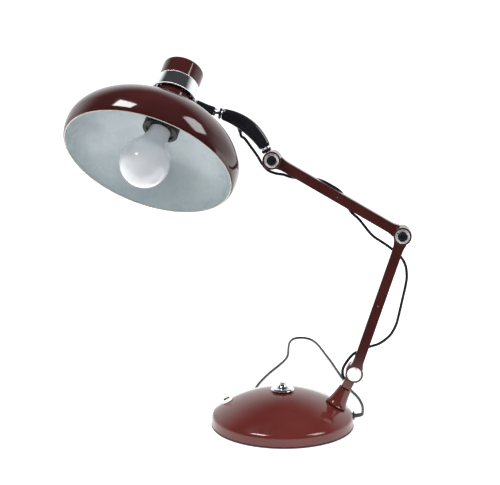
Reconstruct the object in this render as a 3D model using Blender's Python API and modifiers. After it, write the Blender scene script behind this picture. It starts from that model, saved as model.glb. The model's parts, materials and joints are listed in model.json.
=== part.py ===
"""Architect desk lamp: round weighted base, leaning pedestal, two channel arms on ring joints,
a curved handle with a ball joint, and a saucer shade with its lampholder and bulb.

Metres, +Z up.  The origin is the middle of the base, on the table.  The arms lie in planes of
constant Y, the pedestal stands on the +X side of the base and the switch on the -X side.
"""
import math

import bmesh
import bpy
from mathutils import Matrix, Vector

# ---------------------------------------------------------------- driving dimensions
GAP = 0.0003                  # clearance left between touching pieces
SHEET = 0.0012                # sheet metal of the arms and the base

BASE_RADIUS = 0.090
RIM_HEIGHT = 0.0135           # height of the upright rim, below its round shoulder
DOME_TOP = 0.045
DOME_RADIUS = 0.149
SHELL_BOTTOM = 0.0021

PEDESTAL_X = 0.068            # foot of the pedestal on the dome
CONE_HEIGHT = 0.025
CONE_FOOT_RADIUS = 0.0125
CONE_TOP_RADIUS = 0.0083
SHOULDER_RISE = 0.049         # from the foot to the shoulder axis, along the pedestal

SWITCH_X = -0.070
LEVER_LEAN = math.radians(7)  # the lever's lean from the switch axis, towards the middle

ARM_LENGTH = 0.184            # axis to axis, both arms
ARM_WIDTH = 0.0128
LOWER_LEAN = math.radians(17.6)   # lower arm from the vertical, towards +X
UPPER_RISE = math.radians(29.5)   # upper arm above the horizontal, towards -X

RING_RADIUS = 0.0112          # the round knuckle at each end of an arm
RING_WALL = 0.0021
RECESS = 0.0038               # depth of the recess inside a knuckle
PLANE_NEAR = 0.0006           # each arm fills |Y| from here ...
PLANE_FAR = 0.0123            # ... to here, the lower arm at -Y and the upper arm at +Y
AXLE_RADIUS = 0.0030
BORE_RADIUS = 0.0033
KNOB_RADIUS = 0.0061

FRONT_Y = -(PLANE_NEAR + PLANE_FAR) / 2
HANDLE_LEAN = math.radians(27.6)  # start of the handle, from the vertical towards -X
HANDLE_START = 0.0176             # from the wrist axis to the grip
HANDLE_RADIUS = 0.078
HANDLE_SWEEP = math.radians(49.6)
NUB_AT = 0.72                     # where the flex leaves the grip, along its sweep
NUB_TILT = math.radians(40)       # of the flex's exit, back towards the wrist
NUB_REACH = 0.0160
GRIP_HALF_WIDTH = 0.0070          # at its ends; the middle is fuller by GRIP_BULGE
GRIP_BULGE = 0.0020
GRIP_EDGE = 0.0030                # rounding of the grip's long edges
GRIP_HALF_DEPTH = 0.0062
BALL_REACH = 0.0113               # from the end of the grip to the ball
BALL_RADIUS = 0.0042

STEM_AZIMUTH = math.radians(20.0)
STEM_DIP = math.radians(28.2)
HEAD_ROLL = math.radians(31.2)
STEM_LENGTH = 0.0535          # from the axis of the head to the ball
STEM_HEIGHT = 0.1075          # from the opening of the shade up to the stem

OPENING_RADIUS = 0.1014
SHADE_RADIUS = 0.1055
SHADE_WIDEST = 0.0156         # height of the widest circle above the opening
SHADE_CROWN = 0.0590          # rise of the dome above that circle
SHADE_WALL = 0.0010
NECK_RADIUS = 0.0228
NECK_TOP = 0.1005
COLLAR_BOTTOM = 0.0990
COLLAR_TOP = 0.1195
CAP_TOP = 0.1425
BULB_RADIUS = 0.0297
BULB_CENTRE = 0.0010          # height of the bulb's widest circle above the opening
HOLDER_MOUTH = 0.0470

FLEX_RADIUS = 0.0018          # lamp flex and mains cord alike
CORD_DIAMETER = 2 * FLEX_RADIUS
EXIT_ANGLE = math.radians(8)  # the cord leaves the rim here, from +X towards +Y
EXIT_HEIGHT = 0.0105

HANK_ANGLE = math.radians(-6)     # middle of the hank, from +Y towards -X
HANK_RUN = 15 * CORD_DIAMETER
HANK_FOLD = 3 * CORD_DIAMETER     # centreline radius of the inner turn
HANK_BESIDE = 2
HANK_LAYERS = 2
HANK_WIDTH = HANK_FOLD + (HANK_BESIDE - 0.5) * CORD_DIAMETER    # half of its width
HANK_MIDDLE = BASE_RADIUS + 0.0024 + HANK_WIDTH                 # radius about the base's centre

# ---------------------------------------------------------------- routes of the leads
WRIST_LOOP = [
    (-0.0475, -0.0050, 0.3640), (-0.0390, -0.0020, 0.3520), (-0.0325, 0.0020, 0.3420),
    (-0.0275, 0.0060, 0.3325), (-0.0200, 0.0090, 0.3240), (-0.0105, 0.0110, 0.3200),
    (-0.0016, 0.0125, 0.3186),
]
UPPER_RUN = [
    (-0.0016, 0.0125, 0.3186), (0.0073, 0.0145, 0.3155), (0.0201, 0.0153, 0.3138),
    (0.0337, 0.0155, 0.3136), (0.0452, 0.0155, 0.3115), (0.0578, 0.0157, 0.3054),
    (0.0695, 0.0155, 0.2977), (0.0741, 0.0153, 0.2896), (0.0784, 0.0150, 0.2808),
    (0.0829, 0.0145, 0.2726),
]
ELBOW_LOOP = [
    (0.0829, 0.0145, 0.2726), (0.0927, 0.0135, 0.2640), (0.1040, 0.0115, 0.2505),
    (0.1115, 0.0095, 0.2432), (0.1214, 0.0080, 0.2371), (0.1320, 0.0070, 0.2300),
]
LOWER_RUN = [
    (0.1320, 0.0070, 0.2300), (0.1448, 0.0066, 0.2190), (0.1506, 0.0064, 0.2090),
    (0.1526, 0.0062, 0.1975), (0.1520, 0.0060, 0.1865), (0.1476, 0.0058, 0.1635),
    (0.1443, 0.0056, 0.1470), (0.1407, 0.0054, 0.1325), (0.1334, 0.0052, 0.1190),
    (0.1211, 0.0050, 0.1087),
]
SHOULDER_LOOP = [
    (0.1211, 0.0050, 0.1087), (0.1087, 0.0050, 0.1040), (0.0965, 0.0050, 0.0990),
    (0.0873, 0.0050, 0.0925), (0.0798, 0.0050, 0.0825), (0.0757, 0.0050, 0.0738),
    (0.0757, 0.0045, 0.0665), (0.0783, 0.0045, 0.0610), (0.0808, 0.0045, 0.0572),
]
RELIEF_ROUTE = [
    (0.0908, 0.0128, 0.0105), (0.0950, 0.0145, 0.0103), (0.0981, 0.0190, 0.0095),
    (0.0998, 0.0250, 0.0082), (0.1006, 0.0310, 0.0067),
]
MAINS_ROUTE = [
    (0.1006, 0.0310, 0.0067), (0.1010, 0.0420, 0.0044), (0.1012, 0.0540, 0.0026),
    (0.1011, 0.0660, 0.0019), (0.1005, 0.0780, 0.0019), (0.0985, 0.0920, 0.0019),
    (0.0950, 0.1100, 0.0019), (0.0900, 0.1270, 0.0019), (0.0840, 0.1440, 0.0019),
    (0.0760, 0.1770, 0.0019), (0.0680, 0.2090, 0.0019), (0.0590, 0.2460, 0.0019),
    (0.0490, 0.2880, 0.0019), (0.0390, 0.3260, 0.0019), (0.0310, 0.3570, 0.0019),
    (0.0225, 0.3860, 0.0019), (0.0135, 0.4070, 0.0019), (0.0025, 0.4180, 0.0019),
    (-0.0090, 0.4185, 0.0019), (-0.0175, 0.4095, 0.0019), (-0.0210, 0.3920, 0.0019),
    (-0.0214, 0.3720, 0.0019), (-0.0200, 0.3450, 0.0019), (-0.0185, 0.3180, 0.0019),
    (-0.0190, 0.2970, 0.0019), (-0.0225, 0.2760, 0.0019), (-0.0275, 0.2540, 0.0019),
    (-0.0345, 0.2270, 0.0019), (-0.0415, 0.1960, 0.0019), (-0.0468, 0.1650, 0.0019),
    (-0.0492, 0.1440, 0.0019), (-0.0493, 0.1341, 0.0019), (-0.0477, 0.1271, 0.0019),
    (-0.0432, 0.1215, 0.0019), (-0.0366, 0.1185, 0.0019), (-0.0294, 0.1186, 0.0019),
]
TAIL_ROUTE = [
    (-0.0226, 0.0914, 0.0054), (-0.0256, 0.0911, 0.0054), (-0.0286, 0.0910, 0.0054),
    (-0.0316, 0.0913, 0.0053), (-0.0344, 0.0918, 0.0053),
]

PLUG_LENGTH = 0.026
PLUG_WIDTH = 0.024
PLUG_NECK = 0.011
PLUG_THICKNESS = 0.0105
PIN_LENGTH = 0.017
PIN_RADIUS = 0.0020
PIN_SPACING = 0.019

# ---------------------------------------------------------------- scene and collections
for old in list(bpy.data.objects):
    bpy.data.objects.remove(old, do_unlink=True)

LAMP = bpy.data.collections.new("architect_desk_lamp")
CUTTERS = bpy.data.collections.new("cutters")
bpy.context.scene.collection.children.link(LAMP)
bpy.context.scene.collection.children.link(CUTTERS)


def material(name, colour, roughness, metallic=0.0):
    """A Principled BSDF with one colour."""
    mat = bpy.data.materials.new(name)
    mat.use_nodes = True
    shader = mat.node_tree.nodes["Principled BSDF"]
    shader.inputs["Base Color"].default_value = (*colour, 1.0)
    shader.inputs["Roughness"].default_value = roughness
    shader.inputs["Metallic"].default_value = metallic
    return mat


OXBLOOD = material("oxblood_paint", (0.060, 0.016, 0.015), 0.18)
WHITE_PAINT = material("white_plastic", (0.80, 0.80, 0.77), 0.35)
CHROME = material("chrome", (0.80, 0.81, 0.83), 0.07, 1.0)
STEEL = material("zinc_steel", (0.55, 0.55, 0.56), 0.35, 1.0)
BRASS = material("brass", (0.62, 0.46, 0.22), 0.30, 1.0)
BLACK = material("black_gloss_plastic", (0.010, 0.010, 0.013), 0.20)
BAKELITE = material("black_bakelite", (0.012, 0.011, 0.011), 0.40)
RUBBER = material("black_rubber", (0.014, 0.014, 0.016), 0.60)
PVC = material("black_pvc", (0.012, 0.012, 0.015), 0.45)
IRON = material("cast_iron", (0.08, 0.08, 0.08), 0.70, 1.0)
FELT = material("black_felt", (0.020, 0.020, 0.020), 0.95)
OPAL = material("opal_glass", (0.86, 0.87, 0.86), 0.12)
FIBRE = material("red_fibre", (0.25, 0.06, 0.04), 0.70)


# ---------------------------------------------------------------- shape helpers
def add_mesh(name, mesh, mat, frame=Matrix(), collection=LAMP):
    """Link a mesh object in the lamp or, without a material, among the cutters."""
    obj = bpy.data.objects.new(name, mesh)
    if mat is not None:
        mesh.materials.append(mat)
    collection.objects.link(obj)
    if collection is CUTTERS:
        obj.hide_render = True
        obj.display_type = "WIRE"
    obj.matrix_world = frame
    return obj


def cutter(name, mesh, frame=Matrix()):
    return add_mesh(name, mesh, None, frame, CUTTERS)


def screw(obj, steps):
    """Turn the profile of an object about its own Z axis."""
    mod = obj.modifiers.new("turn", "SCREW")
    mod.angle = 2 * math.pi
    mod.steps = steps
    mod.render_steps = steps
    mod.axis = "Z"
    mod.use_merge_vertices = True
    mod.merge_threshold = 0.00001
    mod.use_smooth_shade = True
    return obj


def profile_mesh(name, points, closed):
    """A profile in the XZ plane; the points run down the outer side."""
    mesh = bpy.data.meshes.new(name)
    edges = [(i, i + 1) for i in range(len(points) - 1)]
    if closed:
        edges.append((len(points) - 1, 0))
    mesh.from_pydata([(r, 0.0, z) for r, z in points], edges, [])
    return mesh


def turned(name, points, mat, frame=Matrix(), steps=32, closed=None, collection=LAMP):
    """A turned body: an open profile from axis to axis, or a closed one around a bore."""
    if closed is None:
        closed = min(r for r, z in points) > 0
    obj = add_mesh(name, profile_mesh(name, points, closed), mat, frame, collection)
    return screw(obj, steps)


def tube_profile(inner, outer, low, high):
    """The closed profile of a plain ring or bush."""
    return [(outer, high), (outer, low), (inner, low), (inner, high)]


def disc_profile(radius, low, high, edge=0.0):
    """The open profile of a solid disc or pin, with an optional rounded top edge."""
    points = [(0.0, high)]
    if edge:
        points += [(radius - edge + edge * math.sin(a), high - edge + edge * math.cos(a))
                   for a in (0, math.pi / 4, math.pi / 2)]
    else:
        points.append((radius, high))
    return points + [(radius, low), (0.0, low)]


def cylinder_mesh(radius, length, segments=24, radius_end=None):
    """A cylinder or cone along +Z, from z = 0."""
    mesh = bpy.data.meshes.new("cylinder")
    bm = bmesh.new()
    bmesh.ops.create_cone(bm, cap_ends=True, segments=segments, radius1=radius,
                          radius2=radius if radius_end is None else radius_end, depth=length,
                          matrix=Matrix.Translation((0, 0, length / 2)))
    bm.to_mesh(mesh)
    bm.free()
    return mesh


def box_mesh(low, high):
    """A box between two corners."""
    mesh = bpy.data.meshes.new("box")
    low, high = Vector(low), Vector(high)
    size = high - low
    bm = bmesh.new()
    bmesh.ops.create_cube(bm, size=1.0)
    bmesh.ops.scale(bm, vec=size, verts=bm.verts)
    bmesh.ops.translate(bm, vec=(low + high) / 2, verts=bm.verts)
    bm.to_mesh(mesh)
    bm.free()
    return mesh


def sphere_mesh(radius, segments=24, rings=12):
    mesh = bpy.data.meshes.new("sphere")
    bm = bmesh.new()
    bmesh.ops.create_uvsphere(bm, u_segments=segments, v_segments=rings, radius=radius)
    bm.to_mesh(mesh)
    bm.free()
    return mesh


def boolean(obj, other, operation):
    mod = obj.modifiers.new(operation.lower(), "BOOLEAN")
    mod.operation = operation
    mod.solver = "EXACT"
    mod.object = other
    return obj


def cut(obj, *others):
    for other in others:
        boolean(obj, other, "DIFFERENCE")
    return obj


def join(obj, *others):
    for other in others:
        boolean(obj, other, "UNION")
    return obj


def bevel(obj, width, segments=2, angle=40):
    mod = obj.modifiers.new("edges", "BEVEL")
    mod.width = width
    mod.segments = segments
    mod.limit_method = "ANGLE"
    mod.angle_limit = math.radians(angle)
    return obj


def outline_mesh(name, points, low, high, edge=0.0):
    """A flat outline in the XY plane, filled and extruded from z = low to z = high."""
    curve = bpy.data.curves.new(name, "CURVE")
    curve.dimensions = "2D"
    curve.fill_mode = "BOTH"
    curve.extrude = (high - low) / 2 - edge
    curve.bevel_depth = edge
    curve.bevel_resolution = 1
    curve.render_resolution_u = 0
    spline = curve.splines.new("POLY")
    spline.points.add(len(points) - 1)
    for point, (x, y) in zip(spline.points, points):
        point.co = (x, y, 0.0, 1.0)
    spline.use_cyclic_u = True
    mesh = curve_to_mesh(name, curve)
    mesh.transform(Matrix.Translation((0, 0, (low + high) / 2)))
    return mesh


def curve_to_mesh(name, curve):
    """The welded mesh of a curve, whose caps are loose until then."""
    guide = bpy.data.objects.new(name, curve)
    bpy.context.scene.collection.objects.link(guide)
    bpy.context.view_layer.update()
    depsgraph = bpy.context.evaluated_depsgraph_get()
    mesh = bpy.data.meshes.new_from_object(guide.evaluated_get(depsgraph))
    bm = bmesh.new()
    bm.from_mesh(mesh)
    bmesh.ops.remove_doubles(bm, verts=bm.verts, dist=0.00001)
    bmesh.ops.recalc_face_normals(bm, faces=bm.faces)
    bm.to_mesh(mesh)
    bm.free()
    bpy.data.objects.remove(guide, do_unlink=True)
    return mesh


def smooth_route(points, step, before=None, after=None):
    """Points a step apart on the smooth curve through the route's own points.  A neighbouring
    route's next point, before or after this one, sets the direction at that end."""
    pts = [Vector(p) for p in points]
    ends = ([Vector(before) if before else 2 * pts[0] - pts[1]] + pts
            + [Vector(after) if after else 2 * pts[-1] - pts[-2]])
    fine = []
    for i in range(1, len(ends) - 2):
        a, b, c, d = ends[i - 1:i + 3]
        for k in range(24):
            t = k / 24
            fine.append(0.5 * ((2 * b) + (c - a) * t + (2 * a - 5 * b + 4 * c - d) * t ** 2
                               + (3 * b - a - 3 * c + d) * t ** 3))
    fine.append(pts[-1])
    length = sum((q - p).length for p, q in zip(fine, fine[1:]))
    count = max(2, round(length / step))
    out, walked, target = [fine[0]], 0.0, length / count
    for p, q in zip(fine, fine[1:]):
        span = (q - p).length
        while walked + span >= target - 1e-9 and len(out) < count:
            out.append(p.lerp(q, (target - walked) / span))
            target += length / count
        walked += span
    out.append(fine[-1])
    return out


def trimmed(points, start, end):
    """The same polyline with its ends drawn in by a small gap."""
    pts = list(points)
    pts[0] = pts[0] + (pts[1] - pts[0]).normalized() * start
    pts[-1] = pts[-1] + (pts[-2] - pts[-1]).normalized() * end
    return pts


def tube_mesh(name, points, radius, radii=(1.0, 1.0)):
    """The mesh of a round lead through these points, closed at its ends."""
    curve = bpy.data.curves.new(name, "CURVE")
    curve.dimensions = "3D"
    curve.bevel_depth = radius
    curve.bevel_resolution = 2
    curve.use_fill_caps = True
    curve.render_resolution_u = 0
    spline = curve.splines.new("POLY")
    spline.points.add(len(points) - 1)
    for i, (knot, where) in enumerate(zip(spline.points, points)):
        knot.co = (*where, 1.0)
        knot.radius = radii[0] + (radii[1] - radii[0]) * i / (len(points) - 1)
    mesh = curve_to_mesh(name, curve)
    for face in mesh.polygons:
        face.use_smooth = True
    return mesh


def lead(name, route, step=2 * CORD_DIAMETER, before=None, after=None):
    """A length of flex or cord, drawn in by a small gap at each end."""
    points = trimmed(smooth_route(route, step, before, after), GAP, GAP)
    return add_mesh(name, tube_mesh(name, points, FLEX_RADIUS), PVC)


def axis_frame(origin, z_axis, x_axis=(0, 1, 0)):
    """A frame at a point, with its Z along one direction and its X near another."""
    z = Vector(z_axis).normalized()
    x = Vector(x_axis)
    if abs(z.dot(x)) > 0.99:
        x = Vector((1, 0, 0))
    x = (x - z * x.dot(z)).normalized()
    y = z.cross(x)
    rotation = Matrix((x, y, z)).transposed().to_4x4()
    return Matrix.Translation(origin) @ rotation


# ---------------------------------------------------------------- places
def dome_height(x):
    return DOME_TOP - DOME_RADIUS + math.sqrt(DOME_RADIUS ** 2 - x ** 2)


def dome_normal(x):
    angle = math.asin(x / DOME_RADIUS)
    return Vector((math.sin(angle), 0, math.cos(angle)))


FOOT = Vector((PEDESTAL_X, 0, dome_height(PEDESTAL_X)))
PEDESTAL_AXIS = dome_normal(PEDESTAL_X)
SHOULDER = FOOT + PEDESTAL_AXIS * SHOULDER_RISE
ELBOW = SHOULDER + ARM_LENGTH * Vector((math.sin(LOWER_LEAN), 0, math.cos(LOWER_LEAN)))
WRIST = ELBOW + ARM_LENGTH * Vector((-math.cos(UPPER_RISE), 0, math.sin(UPPER_RISE)))


def leaning(angle):
    """The direction at an angle from the vertical towards -X."""
    return Vector((-math.sin(angle), 0, math.cos(angle)))


GRIP_START = WRIST + leaning(HANDLE_LEAN) * HANDLE_START + Vector((0, FRONT_Y, 0))


def grip_point(share):
    """A point on the grip's centreline, and the direction of the line there."""
    angle = HANDLE_LEAN + share * HANDLE_SWEEP
    centre = GRIP_START - HANDLE_RADIUS * Vector((math.cos(HANDLE_LEAN), 0, math.sin(HANDLE_LEAN)))
    point = centre + HANDLE_RADIUS * Vector((math.cos(angle), 0, math.sin(angle)))
    return point, leaning(angle)


GRIP_END, END_DIRECTION = grip_point(1.0)
BALL = GRIP_END + END_DIRECTION * BALL_REACH
HEAD_FRAME = (Matrix.Translation(BALL) @ Matrix.Rotation(STEM_AZIMUTH, 4, "Z")
              @ Matrix.Rotation(STEM_DIP, 4, "Y") @ Matrix.Rotation(-HEAD_ROLL, 4, "X"))
# Inside the shade's own frame the axis is Z and the opening is at z = 0.
SHADE_FRAME = HEAD_FRAME @ Matrix.Translation((-STEM_LENGTH, 0, -STEM_HEIGHT))


# ---------------------------------------------------------------- base
def base_profile():
    """Outside of the base shell, from the middle of the dome out and down the rim."""
    shoulder_radius = 0.0075
    slope = math.asin((BASE_RADIUS - shoulder_radius) / DOME_RADIUS)
    reach = BASE_RADIUS - shoulder_radius * (1 - math.sin(slope))
    points = [(0.0, DOME_TOP)]
    points += [(reach * k / 8, dome_height(reach * k / 8)) for k in range(1, 9)]
    top = dome_height(reach)
    for k in (1, 2, 3):
        angle = slope + (math.pi / 2 - slope) * k / 3
        points.append((BASE_RADIUS - shoulder_radius * (1 - math.sin(angle)),
                       top - shoulder_radius * (math.cos(slope) - math.cos(angle))))
    return points + [(BASE_RADIUS, SHELL_BOTTOM)]


def build_base():
    shell = add_mesh("base_shell", profile_mesh("base_shell", base_profile(), False), OXBLOOD)
    screw(shell, 40)
    wall = shell.modifiers.new("wall", "SOLIDIFY")
    wall.thickness = SHEET
    wall.offset = -1
    hole = cylinder_mesh(0.0034, 0.03)
    cut(shell, cutter("bolt_hole", hole, Matrix.Translation((0, 0, 0.030))))
    cut(shell, cutter("pedestal_hole", cylinder_mesh(0.0060, 0.02),
                      axis_frame(FOOT - PEDESTAL_AXIS * 0.010, PEDESTAL_AXIS)))
    switch = SWITCH_POINT - SWITCH_AXIS * 0.010
    cut(shell, cutter("switch_hole", cylinder_mesh(0.0043, 0.02), axis_frame(switch, SWITCH_AXIS)))
    cut(shell, cutter("cord_hole", cylinder_mesh(0.0046, 0.02),
                      axis_frame(EXIT_POINT - EXIT_DIRECTION * 0.010, EXIT_DIRECTION)))

    turned("edge_trim", tube_profile(0.0868, 0.0906, 0.0, SHELL_BOTTOM - GAP), RUBBER, steps=40)
    turned("felt_pad", disc_profile(0.0863, 0.0, 0.0018), FELT, steps=36)
    turned("bottom_plate", tube_profile(0.0034, 0.0880, 0.0036, 0.0048), STEEL, steps=28)
    turned("ballast", [(0.0500, 0.0195), (0.0520, 0.0175), (0.0520, 0.0051),
                       (0.0034, 0.0051), (0.0034, 0.0195)], IRON, steps=28)
    turned("tie_bolt", [(0.0, 0.0525), (0.0026, 0.0525), (0.0030, 0.0520), (0.0030, 0.0033),
                        (0.0070, 0.0033), (0.0070, 0.0021), (0.0, 0.0021)], STEEL, steps=16)
    turned("finial", finial_profile(), CHROME, steps=28)


def finial_profile():
    """The chrome nut on top: a flange, a hollow flare and a flat top, with a blind bore."""
    low = DOME_TOP + GAP
    flare = [(0.0052 + 0.0072 * (1 - math.cos(a)) ** 1.2, 0.0552 - 0.0066 * math.sin(a))
             for a in (math.radians(d) for d in (0, 25, 50, 75, 90))]
    return ([(0.0, 0.0560), (0.0046, 0.0560)] + flare
            + [(0.0143, 0.0482), (0.0147, 0.0474), (0.0147, low + 0.0008), (0.0143, low + 0.0006),
               (0.0034, low), (0.0034, 0.0530), (0.0, 0.0530)])


SWITCH_POINT = Vector((SWITCH_X, 0, dome_height(SWITCH_X)))
SWITCH_AXIS = dome_normal(SWITCH_X)
LEVER_PIVOT = SWITCH_POINT + SWITCH_AXIS * 0.0030


def build_switch():
    frame = axis_frame(SWITCH_POINT, SWITCH_AXIS)
    body = add_mesh("switch_body", box_mesh((-0.0065, -0.0085, -0.0180), (0.0065, 0.0085, -0.0022)),
                    BAKELITE, frame)
    join(body, cutter("switch_neck", cylinder_mesh(0.0040, 0.0082),
                      frame @ Matrix.Translation((0, 0, -0.0030))))
    cut(body, cutter("switch_bore", cylinder_mesh(0.0031, 0.0080),
                     frame @ Matrix.Translation((0, 0, -0.0015))))
    add_mesh("switch_nut", cylinder_mesh(0.0066, 0.0036, 6), CHROME,
             frame @ Matrix.Translation((0, 0, 0.0005)))
    nut = bpy.data.objects["switch_nut"]
    bevel(nut, 0.0006, 1, 30)
    cut(nut, cutter("nut_bore", cylinder_mesh(0.0043, 0.01),
                    frame @ Matrix.Translation((0, 0, -0.002))))
    lever_axis = Matrix.Rotation(LEVER_LEAN, 3, "Y") @ SWITCH_AXIS
    lever = [(0.0, 0.0118)]
    lever += [(0.0019 * math.sin(a), 0.0099 + 0.0019 * math.cos(a))
              for a in (math.radians(30), math.radians(60), math.radians(90))]
    lever += [(0.0022, 0.0030), (0.0020, 0.0024), (0.0014, 0.0018), (0.0014, -0.0024), (0.0, -0.0024)]
    turned("toggle_lever", lever, WHITE_PAINT, axis_frame(LEVER_PIVOT, lever_axis), steps=20)


# ---------------------------------------------------------------- pedestal and yoke
def build_pedestal():
    frame = axis_frame(FOOT, PEDESTAL_AXIS, (0, 1, 0))
    wall = 0.0016
    flange = [(CONE_FOOT_RADIUS + 0.0012, 0.0022), (CONE_FOOT_RADIUS + 0.0014, 0.0014)]
    body = [(0.0023, CONE_HEIGHT), (CONE_TOP_RADIUS - 0.0005, CONE_HEIGHT),
            (CONE_TOP_RADIUS, CONE_HEIGHT - 0.0005), (0.0092, 0.0170), (0.0108, 0.0080),
            (CONE_FOOT_RADIUS, 0.0032)] + flange
    inner = [(CONE_FOOT_RADIUS - 0.001, 0.0014), (0.0108 - wall, 0.0080), (0.0092 - wall, 0.0170),
             (CONE_TOP_RADIUS - wall, CONE_HEIGHT - wall), (0.0023, CONE_HEIGHT - wall)]
    turned("pedestal", body + inner, OXBLOOD, frame, steps=24)
    turned("swivel_screw", [(0.0, 0.0330), (0.0018, 0.0330), (0.0018, CONE_HEIGHT - wall - GAP),
                            (0.0032, CONE_HEIGHT - wall - GAP), (0.0032, 0.0208), (0.0, 0.0208)],
           STEEL, frame, steps=20)


def knuckle(name, centre, side, mat=OXBLOOD, collection=LAMP):
    """The round end of an arm: a short barrel with a recess outside and a bored hub."""
    far, near = PLANE_FAR, PLANE_NEAR
    recess = RING_RADIUS - RING_WALL
    hub = far - RECESS
    edge = 0.0006
    points = [(recess, far), (RING_RADIUS - edge, far), (RING_RADIUS, far - edge),
              (RING_RADIUS, near), (BORE_RADIUS, near), (BORE_RADIUS, hub), (recess, hub)]
    frame = axis_frame(centre, (0, side, 0), (1, 0, 0))
    return turned(name, points, mat, frame, steps=28, closed=True, collection=collection)


def build_yoke():
    frame = axis_frame(FOOT, PEDESTAL_AXIS, (0, 1, 0))
    foot = CONE_HEIGHT + GAP + 0.0003
    shelf = SHOULDER_RISE - RING_RADIUS - 0.0006
    yoke = knuckle("yoke", SHOULDER, 1)
    half = ARM_WIDTH / 2
    post = cutter("yoke_post", box_mesh((-half, -half, foot), (half, half, shelf)), frame)
    bevel(post, 0.0012, 2)
    plate = cutter("yoke_plate", box_mesh((PLANE_NEAR + 0.0001, 0.0002 - half, foot + 0.0030),
                                          (PLANE_FAR - 0.0035, half - 0.0002, SHOULDER_RISE)), frame)
    hollow = cutter("yoke_clearance", cylinder_mesh(RING_RADIUS - 0.0008, 0.0400),
                    axis_frame(SHOULDER - Vector((0, 0.02, 0)), (0, 1, 0)))
    boolean(plate, hollow, "DIFFERENCE")
    join(yoke, plate, post)
    cut(yoke, cutter("yoke_tapping", cylinder_mesh(0.0021, 0.010),
                     frame @ Matrix.Translation((0, 0, foot - 0.001))))
    entry = Vector(SHOULDER_LOOP[-1])
    heading = (entry - Vector(SHOULDER_LOOP[-2])).normalized()
    cut(yoke, cutter("flex_entry", cylinder_mesh(0.0026, 0.0130),
                     axis_frame(entry - heading * 0.0110, heading)))


# ---------------------------------------------------------------- arms
def build_arm(name, start, end, side):
    """A channel with its web outside on the lower arm and inside on the upper arm, and a knuckle
    at each end."""
    along = (end - start).normalized()
    frame = axis_frame(start, along, (0, side, 0))
    arm = knuckle(name, start, side)
    half = ARM_WIDTH / 2
    # Local X runs away from the middle plane, Y across the arm and Z along it.
    near, far = PLANE_NEAR + 0.0001, PLANE_FAR - 0.0002
    bar = cutter(name + "_bar", box_mesh((near, -half, RING_RADIUS * 0.55),
                                         (far, half, ARM_LENGTH - RING_RADIUS * 0.55)), frame)
    bevel(bar, 0.0014, 2)
    if side < 0:
        trough = box_mesh((-0.01, -half + SHEET, 0.0), (far - SHEET, half - SHEET, ARM_LENGTH))
    else:
        trough = box_mesh((near + SHEET, -half + SHEET, 0.0), (0.03, half - SHEET, ARM_LENGTH))
    boolean(bar, cutter(name + "_trough", trough, frame), "DIFFERENCE")
    boolean(bar, cutter(name + "_rivet_hole", cylinder_mesh(0.0013, 0.04),
                        axis_frame((start + end) / 2 - Vector((0, 0.02, 0)), (0, 1, 0))), "DIFFERENCE")
    for tag, centre in (("start", start), ("end", end)):
        core = cutter(f"{name}_{tag}_core", cylinder_mesh(RING_RADIUS - 0.0008, 0.06, 28),
                      axis_frame(centre - Vector((0, 0.03, 0)), (0, 1, 0)))
        boolean(bar, core, "DIFFERENCE")
    join(arm, bar, knuckle(name + "_far_knuckle", end, side, None, CUTTERS))


def build_clip(name, start, end, side):
    """A sprung steel clip inside the channel, with its rivet's head on the face of the web."""
    middle = (start + end) / 2
    frame = axis_frame(middle, end - start, (0, side, 0))
    thick = 0.0008
    if side < 0:
        inside = PLANE_FAR - 0.0002 - SHEET - GAP     # the web is the outer wall
        low, high = inside - 0.0050, inside
        ear_low, ear_high = low, inside
    else:
        inside = PLANE_NEAR + 0.0001 + SHEET + GAP    # the web is the wall next to the middle
        low, high = inside, inside + 0.0050
        ear_low, ear_high = inside, high
    floor = (high - thick, high) if side < 0 else (low, low + thick)
    clip = add_mesh(name, box_mesh((floor[0], -0.0040, -0.0035), (floor[1], 0.0040, 0.0035)),
                    STEEL, frame)
    for tag, y in (("a", -0.0042), ("b", 0.0042 - thick)):
        ear = box_mesh((ear_low + 0.0001, y, -0.0036), (ear_high - 0.0001, y + thick, 0.0036))
        join(clip, cutter(f"{name}_ear_{tag}", ear, frame))
    face = -PLANE_FAR if side < 0 else PLANE_NEAR
    join(clip, cutter(name + "_rivet", cylinder_mesh(0.0011, 0.0028, 16),
                      axis_frame(Vector((middle.x, face - 0.0003, middle.z)), (0, 1, 0))))


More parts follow.
